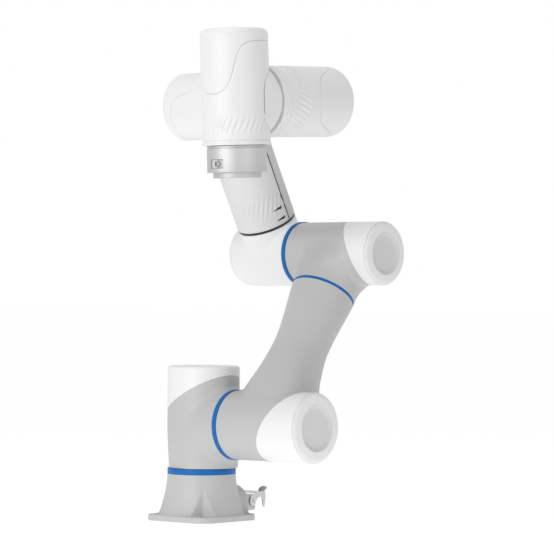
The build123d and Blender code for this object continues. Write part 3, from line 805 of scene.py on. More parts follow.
def drive_lid(name, radius, end, seam, slope, place):
    """A lid and the grey bowl in its end. slope is the seam's rise for each mm across."""
    dish = radius * DISH_SHARE
    groove = end - CAP_EDGE - GROOVE_WIDE
    bowl = end - BOWL_DEPTH
    lid = turned(name + "_skin", rolled([
        (0, bowl - 1), (dish - 0.2, bowl - 1), (dish - 0.2, end - 0.3, FINE_ROLL),
        (dish + 0.8, end - 0.1, FINE_ROLL), (radius - BAND_STEP, end - BAND_DROP, BAND_ROLL),
        (radius, end - CAP_EDGE, 0.8), (radius - GROOVE_DEEP, end - CAP_EDGE - 0.2),
        (radius - GROOVE_DEEP, groove + 0.2), (radius, groove, 0.2), (radius, end - LID_BACK),
        (0, end - LID_BACK),
    ]), 180)
    trimmed(lid, (0, 0, seam + SEAM_GAP), (0, -slope, -1))
    finished(lid, place, "upper_arm", WHITE_PAINT, [name])
    disc = turned(name + "_bowl", rolled([
        (0, bowl + 0.3), (dish - BOWL_WALL - 4, bowl, 8), (dish - BOWL_WALL, bowl + 0.2, 5),
        (dish - 0.9, end - 0.5, 1.0), (dish - 0.3, end - 0.3), (dish - 0.3, bowl - BOWL_SKIN),
        (0, bowl - BOWL_SKIN),
    ], 8), 160)
    finished(disc, place, "upper_arm", DISC_GREY, [])


drive_lid("shoulder_lid", SHOULDER_RADIUS, SHOULDER_END, SHOULDER_SEAM, SHOULDER_SLOPE, SHOULDER_DRIVE)
drive_lid("elbow_lid", ELBOW_RADIUS, ELBOW_END, ELBOW_SEAM, ELBOW_SLOPE, ELBOW_DRIVE)

# %% [markdown]
# The castings of the arm swell from a round tube into a drive housing. Such a form is a loft: a
# skin over rings that change along the way. Between the given stations the sizes ease along a
# smooth curve, and each ring is a rounded oval, from a plain ellipse to almost a rectangle.

# %% Helpers: a skin over rings, and a loft through ovals
def lofted(name, rings, fan=True):
    """Close a skin over rings of points. An end is a fan of triangles or one flat face."""
    mesh = bmesh.new()
    rows = [[mesh.verts.new(point) for point in ring] for ring in rings]
    count = len(rows[0])
    for one, two in zip(rows, rows[1:]):
        for i in range(count):
            j = (i + 1) % count
            mesh.faces.new((one[i], one[j], two[j], two[i]))
    for row in (rows[0], rows[-1]):
        if not fan:
            mesh.faces.new(row)
            continue
        middle = mesh.verts.new(sum((v.co for v in row), Vector()) / count)
        for i in range(count):
            mesh.faces.new((row[i], row[(i + 1) % count], middle))
    return from_bmesh(name, mesh)


def eased(stations, height):
    """Oval sizes at a height, on a smooth curve through the stations."""
    heights = [s[0] for s in stations]
    index = max(0, min(len(stations) - 2, sum(1 for h in heights[1:] if h <= height)))
    low, high = stations[index], stations[index + 1]
    before = stations[max(index - 1, 0)]
    after = stations[min(index + 2, len(stations) - 1)]
    span = high[0] - low[0]
    t = (height - low[0]) / span
    rise = 3 * t**2 - 2 * t**3
    pull_low = t**3 - 2 * t**2 + t
    pull_high = t**3 - t**2
    values = []
    for k in range(1, 5):
        slope_low = (high[k] - before[k]) / (high[0] - before[0]) * span
        slope_high = (after[k] - low[k]) / (after[0] - low[0]) * span
        level = low[k] + rise * (high[k] - low[k])
        values.append(level + pull_low * slope_low + pull_high * slope_high)
    return values


def oval_ring(half_x, half_y, middle, square, height, around=96):
    """Points of a rounded oval: square is 2 for an ellipse, and more for flatter sides."""
    ring = []
    for i in range(around):
        angle = 2 * math.pi * i / around
        c, s = math.cos(angle), math.sin(angle)
        x = half_x * math.copysign(abs(c) ** (2 / square), c)
        y = half_y * math.copysign(abs(s) ** (2 / square), s)
        ring.append((x, middle + y, height))
    return ring


def oval_loft(name, stations, step=4.0):
    """Skin through ovals: height, half x, half y, middle y, squareness."""
    bottom, top = stations[0][0], stations[-1][0]
    levels = max(2, round((top - bottom) / step))
    heights = [bottom + (top - bottom) * level / levels for level in range(levels + 1)]
    return lofted(name, [oval_ring(*eased(stations, h), h) for h in heights])


def bored(piece, radius, low, high, place=Matrix.Identity(4)):
    """Cut a round bore along the Z of a place."""
    return combined(piece, drum("bore", radius, low, high, 96, place), "DIFFERENCE")


print("helpers for lofts are ready")

# %% [markdown]
# The lower casting of the upper arm is a tube that swells into the shoulder drive at its foot.
# The tube is lofted, the drive's barrel is joined across it, and the crease between them is
# blended. Its rims are cut last: below the thin blue ring, at the shoulder joint, and along the
# slanted seam of the lid. A bore takes the joint's journal.

# %% Upper arm casting
DRIVE_TO_LINK = Matrix.Rotation(math.radians(90), 4, "X")
JOINT_GAP = 0.6
RIM_GAP = 0.1
JOURNAL = 12.0
BORE_ROOM = 0.4
PORT_SHOULDER = 6.0
EXTRA = 8.0
BARREL_SHORT = 10.0
shoulder_open = SHOULDER_FACE + JOINT_GAP
shoulder_journal = SHOULDER_PORT - PORT_SHOULDER
# Stations of the tube: height, half x, half y, middle y, squareness
tube_stations = [
    (0, SHOULDER_RADIUS - 0.5, 56, -125, 3.4),
    (48, 40, 49, -122, 2.8),
    (85, 37, 41, -120, 2.3),
    (130, 36, 37.5, -118.5, 2.0),
    (tube_top, ARM_RADIUS, ARM_RADIUS, -ARM_LINE, 2.0),
    (tube_top + EXTRA, ARM_RADIUS + 0.4, ARM_RADIUS + 0.4, -ARM_LINE, 2.0),
]
arm = oval_loft("upper_arm_casting_skin", tube_stations)
barrel_end = SHOULDER_END - BARREL_SHORT
barrel = drum("barrel", SHOULDER_RADIUS, shoulder_open - EXTRA, barrel_end, 160, DRIVE_TO_LINK)
combined(arm, barrel, "UNION")
blended(arm, reach=26, voxel=1.6, passes=60)
trimmed(arm, (0, 0, tube_top - RIM_GAP), (0, 0, 1))
trimmed(arm, (0, -shoulder_open, 0), (0, 1, 0))
trimmed(arm, (0, -SHOULDER_SEAM, 0), (0, -1, SHOULDER_SLOPE))
bored(arm, shoulder_journal + BORE_ROOM, 0, shoulder_open + JOURNAL + 1, DRIVE_TO_LINK)
finished(arm, UPPER, "upper_arm", GREY_PAINT, ["upper_arm_casting"])

# %% [markdown]
# The elbow housing is the upper casting, above the thin blue ring. It is made in the same way,
# but upside down: it starts round at the ring and swells upwards into the elbow drive.

# %% Elbow housing
elbow_open = ELBOW_FACE + JOINT_GAP
elbow_foot = tube_top + ARM_RING
elbow_journal = FORE_RADIUS - PORT_SHOULDER
elbow_stations = [
    (elbow_foot - EXTRA, ARM_RADIUS + 0.2, ARM_RADIUS, -ARM_LINE, 2.0),
    (elbow_foot, ARM_RADIUS, ARM_RADIUS, -ARM_LINE, 2.0),
    (elbow_foot + 18, ARM_RADIUS - 0.8, ARM_RADIUS + 0.6, -ARM_LINE - 1, 2.1),
    (elbow_foot + 36, ELBOW_RADIUS - 0.4, 51, -121, 2.6),
    (UPPER_ARM, ELBOW_RADIUS - 0.6, 62, -124, 3.4),
]
ELBOW_PLACE = Matrix.Translation((0, 0, UPPER_ARM)) @ DRIVE_TO_LINK
knee = oval_loft("elbow_housing_skin", elbow_stations)
barrel_end = ELBOW_END - BARREL_SHORT
barrel = drum("barrel", ELBOW_RADIUS, elbow_open - EXTRA, barrel_end, 160, ELBOW_PLACE)
combined(knee, barrel, "UNION")
blended(knee, reach=24, voxel=1.5, passes=60)
trimmed(knee, (0, 0, elbow_foot + RIM_GAP), (0, 0, -1))
trimmed(knee, (0, -elbow_open, UPPER_ARM), (0, 1, 0))
trimmed(knee, (0, -ELBOW_SEAM, UPPER_ARM), (0, -1, ELBOW_SLOPE))
bored(knee, elbow_journal + BORE_ROOM, 0, elbow_open + JOURNAL + 1, ELBOW_PLACE)
finished(knee, UPPER, "upper_arm", GREY_PAINT, ["elbow_housing"])

# %% [markdown]
# Flat outlines drawn out along one axis make the bolt plate, its pockets and the connector's
# pad, and later the vents and the latch lever. Round stretches are arcs, so that a radius stays
# one value. Bolts stand at the four corners, so one helper gives the four turns toward them.

# %% Helpers: outlines drawn out
def prism(name, outline, low, high, place=Matrix.Identity(4)):
    """A flat outline drawn out along Z, used as a tool or as the start of a piece."""
    piece = lofted(name, [[(x, y, z) for x, y in outline] for z in (low, high)], fan=False)
    piece.data.transform(place)
    return piece


def arc(x, y, radius, start, end, steps=8):
    """Points on an arc, angles in degrees."""
    angles = [math.radians(start + (end - start) * i / steps) for i in range(steps + 1)]
    return [(x + radius * math.cos(a), y + radius * math.sin(a)) for a in angles]


def rounded_square(side, corner):
    """Outline of the bolt plate."""
    reach = side / 2 - corner
    outline = []
    for x, y, start in ((1, 1, 0), (-1, 1, 90), (-1, -1, 180), (1, -1, 270)):
        outline += arc(x * reach, y * reach, corner, start, start + 90)
    return outline


def corner_turns():
    """Turns about Z that carry X toward each corner of a square."""
    return [Matrix.Rotation(math.radians(45 + 90 * quarter), 4, "Z") for quarter in range(4)]


print("helpers for outlines are ready")

# %% [markdown]
# The base is a casting that flares out from its round top to a square bolt plate. The flare is a
# loft too: each level stands a share of the way from the top's circle to the foot's rounded
# square, and the share follows a quarter of an ellipse. Where the foot would run past the
# plate's corners, its reach is eased off.

# %% Flare of the base
PLATE = 113.6
PLATE_CORNER = 20.0
PLATE_THICK = 8.0
PLATE_RIM = 1.6
FLARE_FOOT = 68.0
FLARE_EASE = 0.85
FLARE_LEVELS = 28
FOOT_EASE = 1.5


def foot_reach(angle):
    """How far the flare's foot stands from the axis, in one direction."""
    c, s = abs(math.cos(angle)), abs(math.sin(angle))
    reach = PLATE / 2 - PLATE_CORNER
    edge = (PLATE / 2 - PLATE_RIM) / max(c, s)
    if edge * min(c, s) > reach:
        across = reach * (c + s)
        edge = across + math.sqrt(across**2 - 2 * reach**2 + (PLATE_CORNER - PLATE_RIM) ** 2)
    return edge - FOOT_EASE * math.log(1 + math.exp((edge - FLARE_FOOT) / FOOT_EASE))


def flare_ring(sweep, height, around=144):
    """One level of the flare: a circle at sweep 0, and the rounded square of the foot at 1."""
    ring = []
    for i in range(around):
        angle = 2 * math.pi * i / around
        radius = BASE_RADIUS + (foot_reach(angle) - BASE_RADIUS) * sweep**FLARE_EASE
        ring.append((radius * math.cos(angle), radius * math.sin(angle), height))
    return ring


flare_drop = BASE_TOP - PLATE_THICK
levels = [flare_ring(0, BASE_TOP + EXTRA)]
for step in range(FLARE_LEVELS + 1):
    angle = math.radians(90 * step / FLARE_LEVELS)
    levels.append(flare_ring(1 - math.cos(angle), BASE_TOP - flare_drop * math.sin(angle)))
levels.append(flare_ring(1, -EXTRA))
base = lofted("base_casting_skin", levels)
print("flare reaches %.1f mm to a side and %.1f mm to a corner" % (
    foot_reach(0), foot_reach(math.radians(45))))

# %% [markdown]
# At each corner of the plate a pocket makes room for a bolt's head, and a flat arched pad
# carries the connector. The pockets are cut first and the pad is joined after them, so that it
# stays whole. Remeshing then rolls all the edges a little, as sand casting does, and the flat
# foot, the flat top and the bolt holes are cut last, as they are machined.

# %% Base casting
POCKET_CORNER = 47.4
POCKET_ANGLE = math.radians(59)
BOLT_CIRCLE = 120.0
BOLT_HOLE = 4.5
PAD_HALF = 34.0
PAD_FOOT = 35.2
PAD_INNER = 20.0
PAD_OUTER = PLATE / 2 - 0.03
PAD_TOP = 47.0
PAD_RISE = 29.0
PAD_SQUARE = 2.4
# An outline's own axes become the base's Y and Z, and it is drawn out along X
YZ_PLACE = Matrix(((0, 0, 1, 0), (1, 0, 0, 0), (0, 1, 0, 0), (0, 0, 0, 1)))

plate = prism("plate", rounded_square(PLATE, PLATE_CORNER), -EXTRA, PLATE_THICK)
combined(base, plate, "UNION")
pocket_reach = POCKET_CORNER + PLATE / 2
pocket_side = PLATE / 2 * math.tan(POCKET_ANGLE)
wedge = [(POCKET_CORNER, 0), (pocket_reach, -pocket_side), (pocket_reach, pocket_side)]
for spin in corner_turns():
    pocket = prism("pocket", wedge, PLATE_THICK, BASE_TOP + 2 * EXTRA, spin)
    combined(base, pocket, "DIFFERENCE")
pad_spring = PAD_TOP - PAD_RISE
pad_ring = oval_ring(PAD_HALF, PAD_RISE, pad_spring, PAD_SQUARE, 0)
pad_outline = [
    (PAD_FOOT, -EXTRA), (PAD_FOOT, PLATE_THICK),
    *[(x, z) for x, z, _ in pad_ring if z > pad_spring - 0.01],
    (-PAD_FOOT, PLATE_THICK), (-PAD_FOOT, -EXTRA),
]
combined(base, prism("pad", pad_outline, PAD_INNER, PAD_OUTER, YZ_PLACE), "UNION")
blended(base, reach=4, voxel=1.0, passes=4)
trimmed(base, (0, 0, 0), (0, 0, -1))
trimmed(base, (0, 0, BASE_TOP), (0, 0, 1))
for spin in corner_turns():
    hole = spin @ Matrix.Translation((BOLT_CIRCLE / 2, 0, 0))
    bored(base, BOLT_HOLE, -2, PLATE_THICK + 2, hole)
finished(base, WORLD, "base", GREY_PAINT, ["base_casting"])

# %% [markdown]
# The turret is a round drive housing drawn out a little toward the shoulder. Its side port grows
# from an upright oval to a round face. The white top is a separate lid with a slanted seam. The
# housing and the lid follow the same rings, so their sides meet flush at the seam.

# %% Turret housing and lid
TURRET_RADIUS = 46.4
TURRET_FOOT = 44.2
TURRET_SWELL = 118.0
TURRET_REACH = 6.0
TURRET_TOP = 208.0
TURRET_SEAM = 166.0
TURRET_RISE = 26.0
TURRET_EDGE = 4.0
LID_SKIRT = 40.0
PORT_ROOT_TALL = 56.0
PORT_LEVELS = 16
SHOULDER_HEIGHT = shoulder.z / MM
TURRET_PORT = Matrix.Translation((0, 0, SHOULDER_HEIGHT)) @ DRIVE_TO_LINK
turret_foot = base_ring_top + JOINT_GAP
turret_slope = TURRET_RISE / TURRET_RADIUS


def turret_ring(radius, height, around=144):
    """A circle whose front half is moved out toward the port."""
    ring = []
    for i in range(around):
        angle = 2 * math.pi * (i + 0.5) / around
        y = radius * math.sin(angle)
        ring.append((radius * math.cos(angle), y - (TURRET_REACH if y < 0 else 0), height))
    return ring


turret_crown = [(TURRET_RADIUS, TURRET_TOP, TURRET_EDGE), (0.5, TURRET_TOP)]
turret_side = [
    (TURRET_FOOT - 0.3, turret_foot - EXTRA), (TURRET_FOOT, turret_foot),
    (TURRET_RADIUS, TURRET_SWELL), *turret_crown,
]
turret = lofted("turret_housing_skin", [turret_ring(*point) for point in rolled(turret_side, 8)])
port_rings = []
for level in range(PORT_LEVELS + 1):
    share = level / PORT_LEVELS
    half_x = (TURRET_RADIUS - 1) * (1 - share) + SHOULDER_PORT * share
    half_z = PORT_ROOT_TALL * (1 - share) + SHOULDER_PORT * share
    port_rings.append(oval_ring(half_x, half_z, 0, 2, port_start * share, 128))
port_rings.append(oval_ring(SHOULDER_PORT, SHOULDER_PORT, 0, 2, port_start + EXTRA, 128))
port = lofted("port", port_rings)
port.data.transform(TURRET_PORT)
combined(turret, port, "UNION")
blended(turret, reach=18, voxel=1.5, passes=45)
trimmed(turret, (0, -port_start, 0), (0, -1, 0))
trimmed(turret, (0, 0, turret_foot), (0, 0, -1))
trimmed(turret, (0, 0, TURRET_SEAM - RIM_GAP), (0, turret_slope, 1))
base_journal = BASE_RADIUS - PORT_SHOULDER
bored(turret, base_journal + BORE_ROOM, turret_foot - 1, turret_foot + JOURNAL + 1)
finished(turret, WORLD, "turret", GREY_PAINT, ["turret_housing"])

lid_side = rolled([(TURRET_RADIUS, TURRET_SEAM - LID_SKIRT), *turret_crown], 8)
turret_lid = lofted("turret_lid_skin", [turret_ring(*point) for point in lid_side])
trimmed(turret_lid, (0, 0, TURRET_SEAM + SEAM_GAP), (0, -turret_slope, -1))
finished(turret_lid, WORLD, "turret", WHITE_PAINT, ["turret_lid"])

# %% [markdown]
# Each joint turns on a machined journal that runs from the ring's side into the next housing.
# Only its edge shows in the joint's narrow gap, and it keeps the gap from being seen through.

# %% Journals in the gaps of the joints
SEAL_GROOVE = 0.6


def journal(name, radius, low, high, place, body):
    """A turned steel journal with a groove for its seal."""
    middle = (low + high) / 2
    section = rolled([
        (0, low), (radius, low, 0.5), (radius, middle - 1), (radius - 1, middle - SEAL_GROOVE),
        (radius - 1, middle + SEAL_GROOVE), (radius, middle + 1), (radius, high, 0.8), (0, high),
    ], 3)
    return finished(turned(name, section, 96), place, body, STEEL, [])


journal("base_journal", base_journal, BASE_TOP - 1, base_ring_top + JOURNAL, WORLD, "base")
shoulder_deep = SHOULDER_FACE + JOURNAL
journal("shoulder_journal", shoulder_journal, port_start - 1, shoulder_deep, TURRET_DRIVE, "turret")
elbow_deep = ELBOW_FACE + JOURNAL
journal("elbow_journal", elbow_journal, ring_start - 1, elbow_deep, FORE_DRIVE, "forearm")

# %% [markdown]
# The forearm starts as a round housing on the elbow joint, with a neck that rises from it in a
# soft saddle. The skirt of the neck is joined and blended first, and the narrower spigot that
# carries the covers is added after the blend, so that its corner stays sharp.

# %% Forearm housing
FORE_END = 57.0
FORE_ROUND = 19.0
FORE_LINE = 4.0
NECK_SKIRT = 40.8
NECK_STEP = 48.4
NECK_RADIUS = 37.5
NECK_TOP = 58.0
NECK_ROOT = 20.0
FORE_TUBE = Matrix.Translation((0, -FORE_LINE, 0))
section = rolled([
    (0, -FORE_END), (FORE_RADIUS, -FORE_END, FORE_ROUND), (FORE_RADIUS, ring_start + EXTRA),
    (0, ring_start + EXTRA),
], 12)
housing = turned("forearm_housing_skin", section, 144)
housing.data.transform(DRIVE_TO_LINK)
combined(housing, drum("neck", NECK_SKIRT, 0, NECK_STEP + EXTRA, 128, FORE_TUBE), "UNION")
blended(housing, reach=15, voxel=1.3, passes=40)
trimmed(housing, (0, -ring_start, 0), (0, -1, 0))
trimmed(housing, (0, 0, NECK_STEP), (0, 0, 1))
combined(housing, drum("spigot", NECK_RADIUS, NECK_ROOT, NECK_TOP, 128, FORE_TUBE), "UNION")
finished(housing, FORE, "forearm", WHITE_PAINT, ["forearm_housing"])

# %% [markdown]
# Two half shells cover the forearm's tube, with a straight seam along each side. They carry a
# band of flutes near their foot, and the front one has two teardrop vents by the seam. One
# shell is turned and fluted, then copied and trimmed to each half, so the flutes run on across
# the seam. The top is cut by the round housing of the first wrist.

# %% Forearm covers
COVER_RADIUS = 41.0
COVER_WALL = 2.6
COVER_FOOT = 52.0
COVER_LIP = 1.25
COVER_CLEAR = 0.3
CUT_PAST = 20.0
COVER_SPLIT = 1.3
SEAM_SHIFT = 3.0
COVER_FLUTES = (67.0, 99.0)
COVER_PITCH = 7.1
COVER_FLUTE_DEPTH = 1.0
FOREARM = fore_z.length / MM
WRIST_1_RADIUS = 46.0
WRIST_1_FACE = 80.5
WRIST_1_END = 76.0
VENT_LENGTH = 15.5
VENT_WIDTH = 4.6
VENT_TIP = 0.5
VENT_PITCH = 15.0
VENT_HEIGHT = 59.5
VENT_SIDE = 9.8
VENT_CUT = (30.0, 60.0)
WRIST_PLACE = Matrix.Translation((0, 0, FOREARM)) @ DRIVE_TO_LINK
# A vent's outline lies in the link's x and z, and is drawn out toward -Y
XZ_PLACE = Matrix(((1, 0, 0, 0), (0, 0, -1, 0), (0, 1, 0, 0), (0, 0, 0, 1)))


def teardrop(x, z):
    """Outline of a vent across the tube: blunt by the seam and narrow at its far end."""
    blunt = VENT_WIDTH / 2
    near = x + VENT_LENGTH / 2 - blunt
    far = x - VENT_LENGTH / 2 + VENT_TIP
    return arc(near, z, blunt, -90, 90) + arc(far, z, VENT_TIP, 90, 270, 4)


section = rolled([
    (COVER_RADIUS - COVER_WALL, COVER_FOOT), (COVER_RADIUS - COVER_WALL / 2, COVER_FOOT),
    (COVER_RADIUS, COVER_FOOT, COVER_LIP), (COVER_RADIUS, FOREARM),
    (COVER_RADIUS - COVER_WALL, FOREARM),
], 4)
shell = turned("forearm_rear_cover_skin", divided(section, *COVER_FLUTES, 1.0), 432)
fluted(shell, COVER_RADIUS, *COVER_FLUTES, COVER_PITCH, COVER_FLUTE_DEPTH, WHITE_PLASTIC)
shell.data.transform(FORE_TUBE)
cut_low, cut_high = -WRIST_1_END - CUT_PAST, WRIST_1_FACE + CUT_PAST
bored(shell, WRIST_1_RADIUS + COVER_CLEAR, cut_low, cut_high, WRIST_PLACE)
front = copied(shell, "forearm_front_cover_skin")
trimmed(front, (SEAM_SHIFT - COVER_SPLIT, 0, 0), (1, 0, 0))
for row in range(2):
    outline = teardrop(-VENT_SIDE, VENT_HEIGHT + row * VENT_PITCH)
    combined(front, prism("vent", outline, *VENT_CUT, XZ_PLACE), "DIFFERENCE")
finished(front, FORE, "forearm", WHITE_PLASTIC, ["forearm_front_cover"])
trimmed(shell, (SEAM_SHIFT + COVER_SPLIT, 0, 0), (-1, 0, 0))
# The rear shell is painted with shade: the same white plastic, only darker.
finished(shell, FORE, "forearm", SHADED_COVER_PLASTIC, ["forearm_rear_cover"])

# %% [markdown]
# Black pieces close what would else be seen through, and they are painted shade for the dark
# gaps: a strip in each seam, a sheet behind the vents, and a ring between the covers' foot and
# the neck. The strips and the sheet are slices of a turned liner, so they follow the tube, and the
# ring is turned by itself.

# %% Painted shade in the gaps of the covers
SHADE_STRIP_HALF = COVER_SPLIT - 0.15
SHADE_SUNK = 0.8
SHADE_INNER = NECK_RADIUS + 0.1
VENT_SHADE_WIDE = 22.0
VENT_SHADE_TALL = 30.0
STRIP_SHORT = 20.0


def dark_liner(name, x_low, x_high, top, side, outer):
    """A strip of black painted shade between the tube and the covers, on one side of the arm."""
    foot = COVER_FOOT + 2
    liner = turned(name, rolled([
        (SHADE_INNER, foot), (outer, foot, 0.1), (outer, top, 0.1), (SHADE_INNER, top),
    ], 2), 180)
    liner.data.transform(FORE_TUBE)
    trimmed(liner, (x_high, 0, 0), (1, 0, 0))
    trimmed(liner, (x_low, 0, 0), (-1, 0, 0))
    trimmed(liner, (0, -FORE_LINE, 0), (0, -side, 0))
    return finished(liner, FORE, "forearm", BLACK_PLASTIC_AND_SHADE, [])


shade_low, shade_high = SEAM_SHIFT - SHADE_STRIP_HALF, SEAM_SHIFT + SHADE_STRIP_HALF
under_cover = COVER_RADIUS - COVER_WALL - 0.1
# The sheet behind the vents is painted shade: black where the vents would show the tube in shadow.
dark_liner("vent_painted_shade", -VENT_SHADE_WIDE, shade_low - 0.2, COVER_FOOT + VENT_SHADE_TALL, -1, under_cover)
# The strips in the seams are painted shade for the seams' dark lines.
for name, side in (("seam_shade_front", -1), ("seam_shade_back", 1)):
    dark_liner(name, shade_low, shade_high, FOREARM - STRIP_SHORT, side, COVER_RADIUS - SHADE_SUNK)
# The ring under the covers' foot is painted shade for the dark gap there.
ring_low, ring_high, ring_out = NECK_STEP - 0.6, COVER_FOOT + 0.8, SHADE_INNER + 1.5
foot_shade_ring = turned("foot_shade_ring", rolled([
    (SHADE_INNER, ring_low), (ring_out, ring_low), (ring_out, ring_high, 0.3), (SHADE_INNER, ring_high),
], 2), 160)
foot_shade_ring.data.transform(FORE_TUBE)
finished(foot_shade_ring, FORE, "forearm", BLACK_PLASTIC_AND_SHADE, [])

# %% [markdown]
# The three wrist modules are alike: a turned housing with fine grooves at its face and a port on
# its side, and on two of them a band of flutes. One function turns them all, with the sizes that
# differ, because three copies of the same code would soon drift apart.

# %% Helper: turned form of a wrist module
WRIST_EDGE = 9.0
GROOVE_HALF = 0.6
GROOVE_FLAT = 0.25
LINE_DEPTH = 0.8
LIP_TALL = 6.0
FLUTE_PITCH = 7.9
FLUTE_DEPTH = 1.25
LID_LOW = -12.0


def wrist_form(name, radius, lip, face, end, bore, lines, flutes):
    """Turned wrist housing. lines are the heights of its fine grooves."""
    root = JOURNAL + 1 - face
    corners = [(0, root), (bore, root), (bore, -face), (radius + lip, -face, 0.7)]
    for line in lines:
        here = radius + (lip if line < LIP_TALL - face else 0)
        corners += [
            (here, line - GROOVE_HALF), (here - LINE_DEPTH, line - GROOVE_FLAT),
            (here - LINE_DEPTH, line + GROOVE_FLAT), (radius, line + GROOVE_HALF),
        ]
    corners += [(radius, end, WRIST_EDGE), (0, end)]
    section = divided(rolled(corners, 8), LID_LOW, end - WRIST_EDGE, 1.0)
    if flutes:
        section = divided(section, *flutes, 1.0)
    form = turned(name, section, 420)
    if flutes:
        fluted(form, radius, *flutes, FLUTE_PITCH, FLUTE_DEPTH, WHITE_PAINT)
    return form


print("helper for wrist modules is ready")

# %% [markdown]
# A wrist's lid takes in one end and a tongue down the far side, and its seam is one smooth
# curve. Its height is given at a few angles from the tongue's middle and smoothed in between.
# The same curve is used three times: to press a soft groove into the skin, to cut the lid away
# from the housing, and, moved by a hair, to cut the lid itself, so that a real seam stays open.

# %% Helpers: seam and lid of a wrist module
CAP_LEVEL = 17.0
SEAM_HALF = 0.17
SEAM_CORE = 15.0
PRESS_WIDTH = 2.6
PRESS_DEPTH = 0.45
PRESS_STEPS = 8
PAST_LID = 20.0
AROUND = 360
# Rise of the seam, from the tongue's foot to the cap, at angles from the tongue's middle
SEAM_RISE = [
    (0, 0), (10, 0.01), (20, 0.05), (27, 0.12), (33, 0.22), (38, 0.38), (42, 0.55), (48, 0.77),
    (53, 0.87), (58, 0.925), (69, 0.975), (85, 0.995), (103, 1), (180, 1),
]
# The same for the second wrist, whose tongue is wider
WIDE_RISE = [
    (0, 0), (10, 0.014), (20, 0.057), (30, 0.129), (38, 0.203), (42, 0.27), (46, 0.37), (51, 0.51),
    (57, 0.69), (63, 0.83), (70, 0.93), (80, 0.985), (92, 1), (180, 1),
]


def seam_curve(radius, foot, seam, rise, shift):
    """Angle and height of the seam at each degree, moved down by shift along its normal."""
    rises = []
    for degree in range(AROUND):
        angle = min(degree, AROUND - degree)
        for (a, low), (b, high) in zip(rise, rise[1:]):
            if a <= angle <= b:
                rises.append(low + (high - low) * (angle - a) / (b - a))
                break
    for _ in range(4):
        rises = [
            (rises[i - 1] + 2 * rises[i] + rises[(i + 1) % AROUND]) / 4 for i in range(AROUND)
        ]
    arc_step = radius * math.radians(1)
    points = []
    for i in range(AROUND):
        slope = (rises[(i + 1) % AROUND] - rises[i - 1]) * (seam - foot) / 2
        length = math.hypot(arc_step, slope)
        angle = math.radians(i) + shift * slope / length / radius
        points.append((angle, foot + rises[i] * (seam - foot) - shift * arc_step / length))
    return points


def lid_room(radius, end, foot, rise, grow):
    """Solid that takes in a wrist's lid: the cap, and the tongue down its far side."""
    seam = end - CAP_LEVEL
    outer, top = radius + PAST_LID, end + PAST_LID
    mesh = bmesh.new()
    columns = []
    for angle, height in seam_curve(radius, foot, seam, rise, grow):
        x, y = -math.cos(angle), math.sin(angle)
        columns.append([
            mesh.verts.new((x * r, y * r, z))
            for r, z in ((SEAM_CORE, height), (outer, height), (outer, top), (SEAM_CORE, top))
        ])
    for one, two in zip(columns, columns[1:] + columns[:1]):
        for i in range(4):
            j = (i + 1) % 4
            mesh.faces.new((one[i], one[j], two[j], two[i]))
    tongue = from_bmesh("tongue", mesh)
    return combined(tongue, drum("cap", SEAM_CORE + 1, seam - grow, top + 0.5, 90), "UNION")


def press_seam(form, radius, end, foot, rise):
    """Press a soft shallow groove along the seam, before the form is split there."""
    curve = seam_curve(radius, foot, end - CAP_LEVEL, rise, 0)
    tree = KDTree(len(curve) * PRESS_STEPS)
    for i, (angle, height) in enumerate(curve):
        far_angle, far_height = curve[(i + 1) % len(curve)]
        if far_angle < angle:
            far_angle += 2 * math.pi
        for step in range(PRESS_STEPS):
            a = angle + (far_angle - angle) * step / PRESS_STEPS
            z = height + (far_height - height) * step / PRESS_STEPS
            point = (-radius * math.cos(a), radius * math.sin(a), z)
            tree.insert(point, PRESS_STEPS * i + step)
    tree.balance()
    for vertex in form.data.vertices:
        reach = math.hypot(vertex.co.x, vertex.co.y)
        if reach < radius - 0.4 or vertex.co.z < foot - 4:
            continue
        distance = tree.find(vertex.co)[2]
        if distance < PRESS_WIDTH:
            share = (1 + math.cos(math.pi * distance / PRESS_WIDTH)) / 2
            scale = 1 - PRESS_DEPTH * share / reach
            vertex.co.x *= scale
            vertex.co.y *= scale


def split_lid(form, size, foot, place, body, nodes, rise=SEAM_RISE):
    """Split a wrist form into its housing and its lid, with a hairline between them."""
    radius, end = size["radius"], size["end"]
    housing_node, lid_node = nodes
    press_seam(form, radius, end, foot, rise)
    lid = copied(form, lid_node + "_skin")
    combined(form, lid_room(radius, end, foot, rise, SEAM_HALF), "DIFFERENCE")
    combined(lid, lid_room(radius, end, foot, rise, -SEAM_HALF), "INTERSECT")
    finished(form, place, body, WHITE_PAINT, [housing_node])
    finished(lid, place, body, WHITE_PAINT, [lid_node])


print("helpers for wrist lids are ready")

# %% [markdown]
# The first wrist's housing is one casting with the forearm's tube, so it rides on the forearm.
# The tube is a plain drum joined to its side, most of it hidden by the covers. The lid closes
# the end away from the second wrist.

# %% First wrist
ALONG_PORT = Matrix(((0, 0, 1, 0), (1, 0, 0, 0), (0, 1, 0, 0), (0, 0, 0, 1)))
WRIST_PORT = 45.0
WRIST_1 = dict(radius=WRIST_1_RADIUS, face=WRIST_1_FACE, end=WRIST_1_END)
port_journal = WRIST_PORT - PORT_SHOULDER
port_bore = port_journal + BORE_ROOM

first = wrist_form(
    "forearm_casting_skin", lip=0, bore=port_bore, lines=[-66.0], flutes=None, **WRIST_1
)
tube_place = Matrix.Translation((0, 0, -FORE_LINE)) @ ALONG_PORT
combined(first, drum("tube", NECK_RADIUS, 0, FOREARM - NECK_TOP, 128, tube_place), "UNION")
split_lid(first, WRIST_1, 0.0, MODULE_1, "forearm", ("forearm_casting", "wrist_1_lid"))

# %% [markdown]
# The second wrist has two grooves at its face, a band of flutes, and a round port that turns on
# the first wrist. The port is a plain drum, joined without a blend, because the photograph
# shows a crisp crease there.

# %% Second wrist
WRIST_2 = dict(radius=47.2, face=71.0, end=73.0)
WRIST_OFFSET = abs(wrist_2.y) / MM

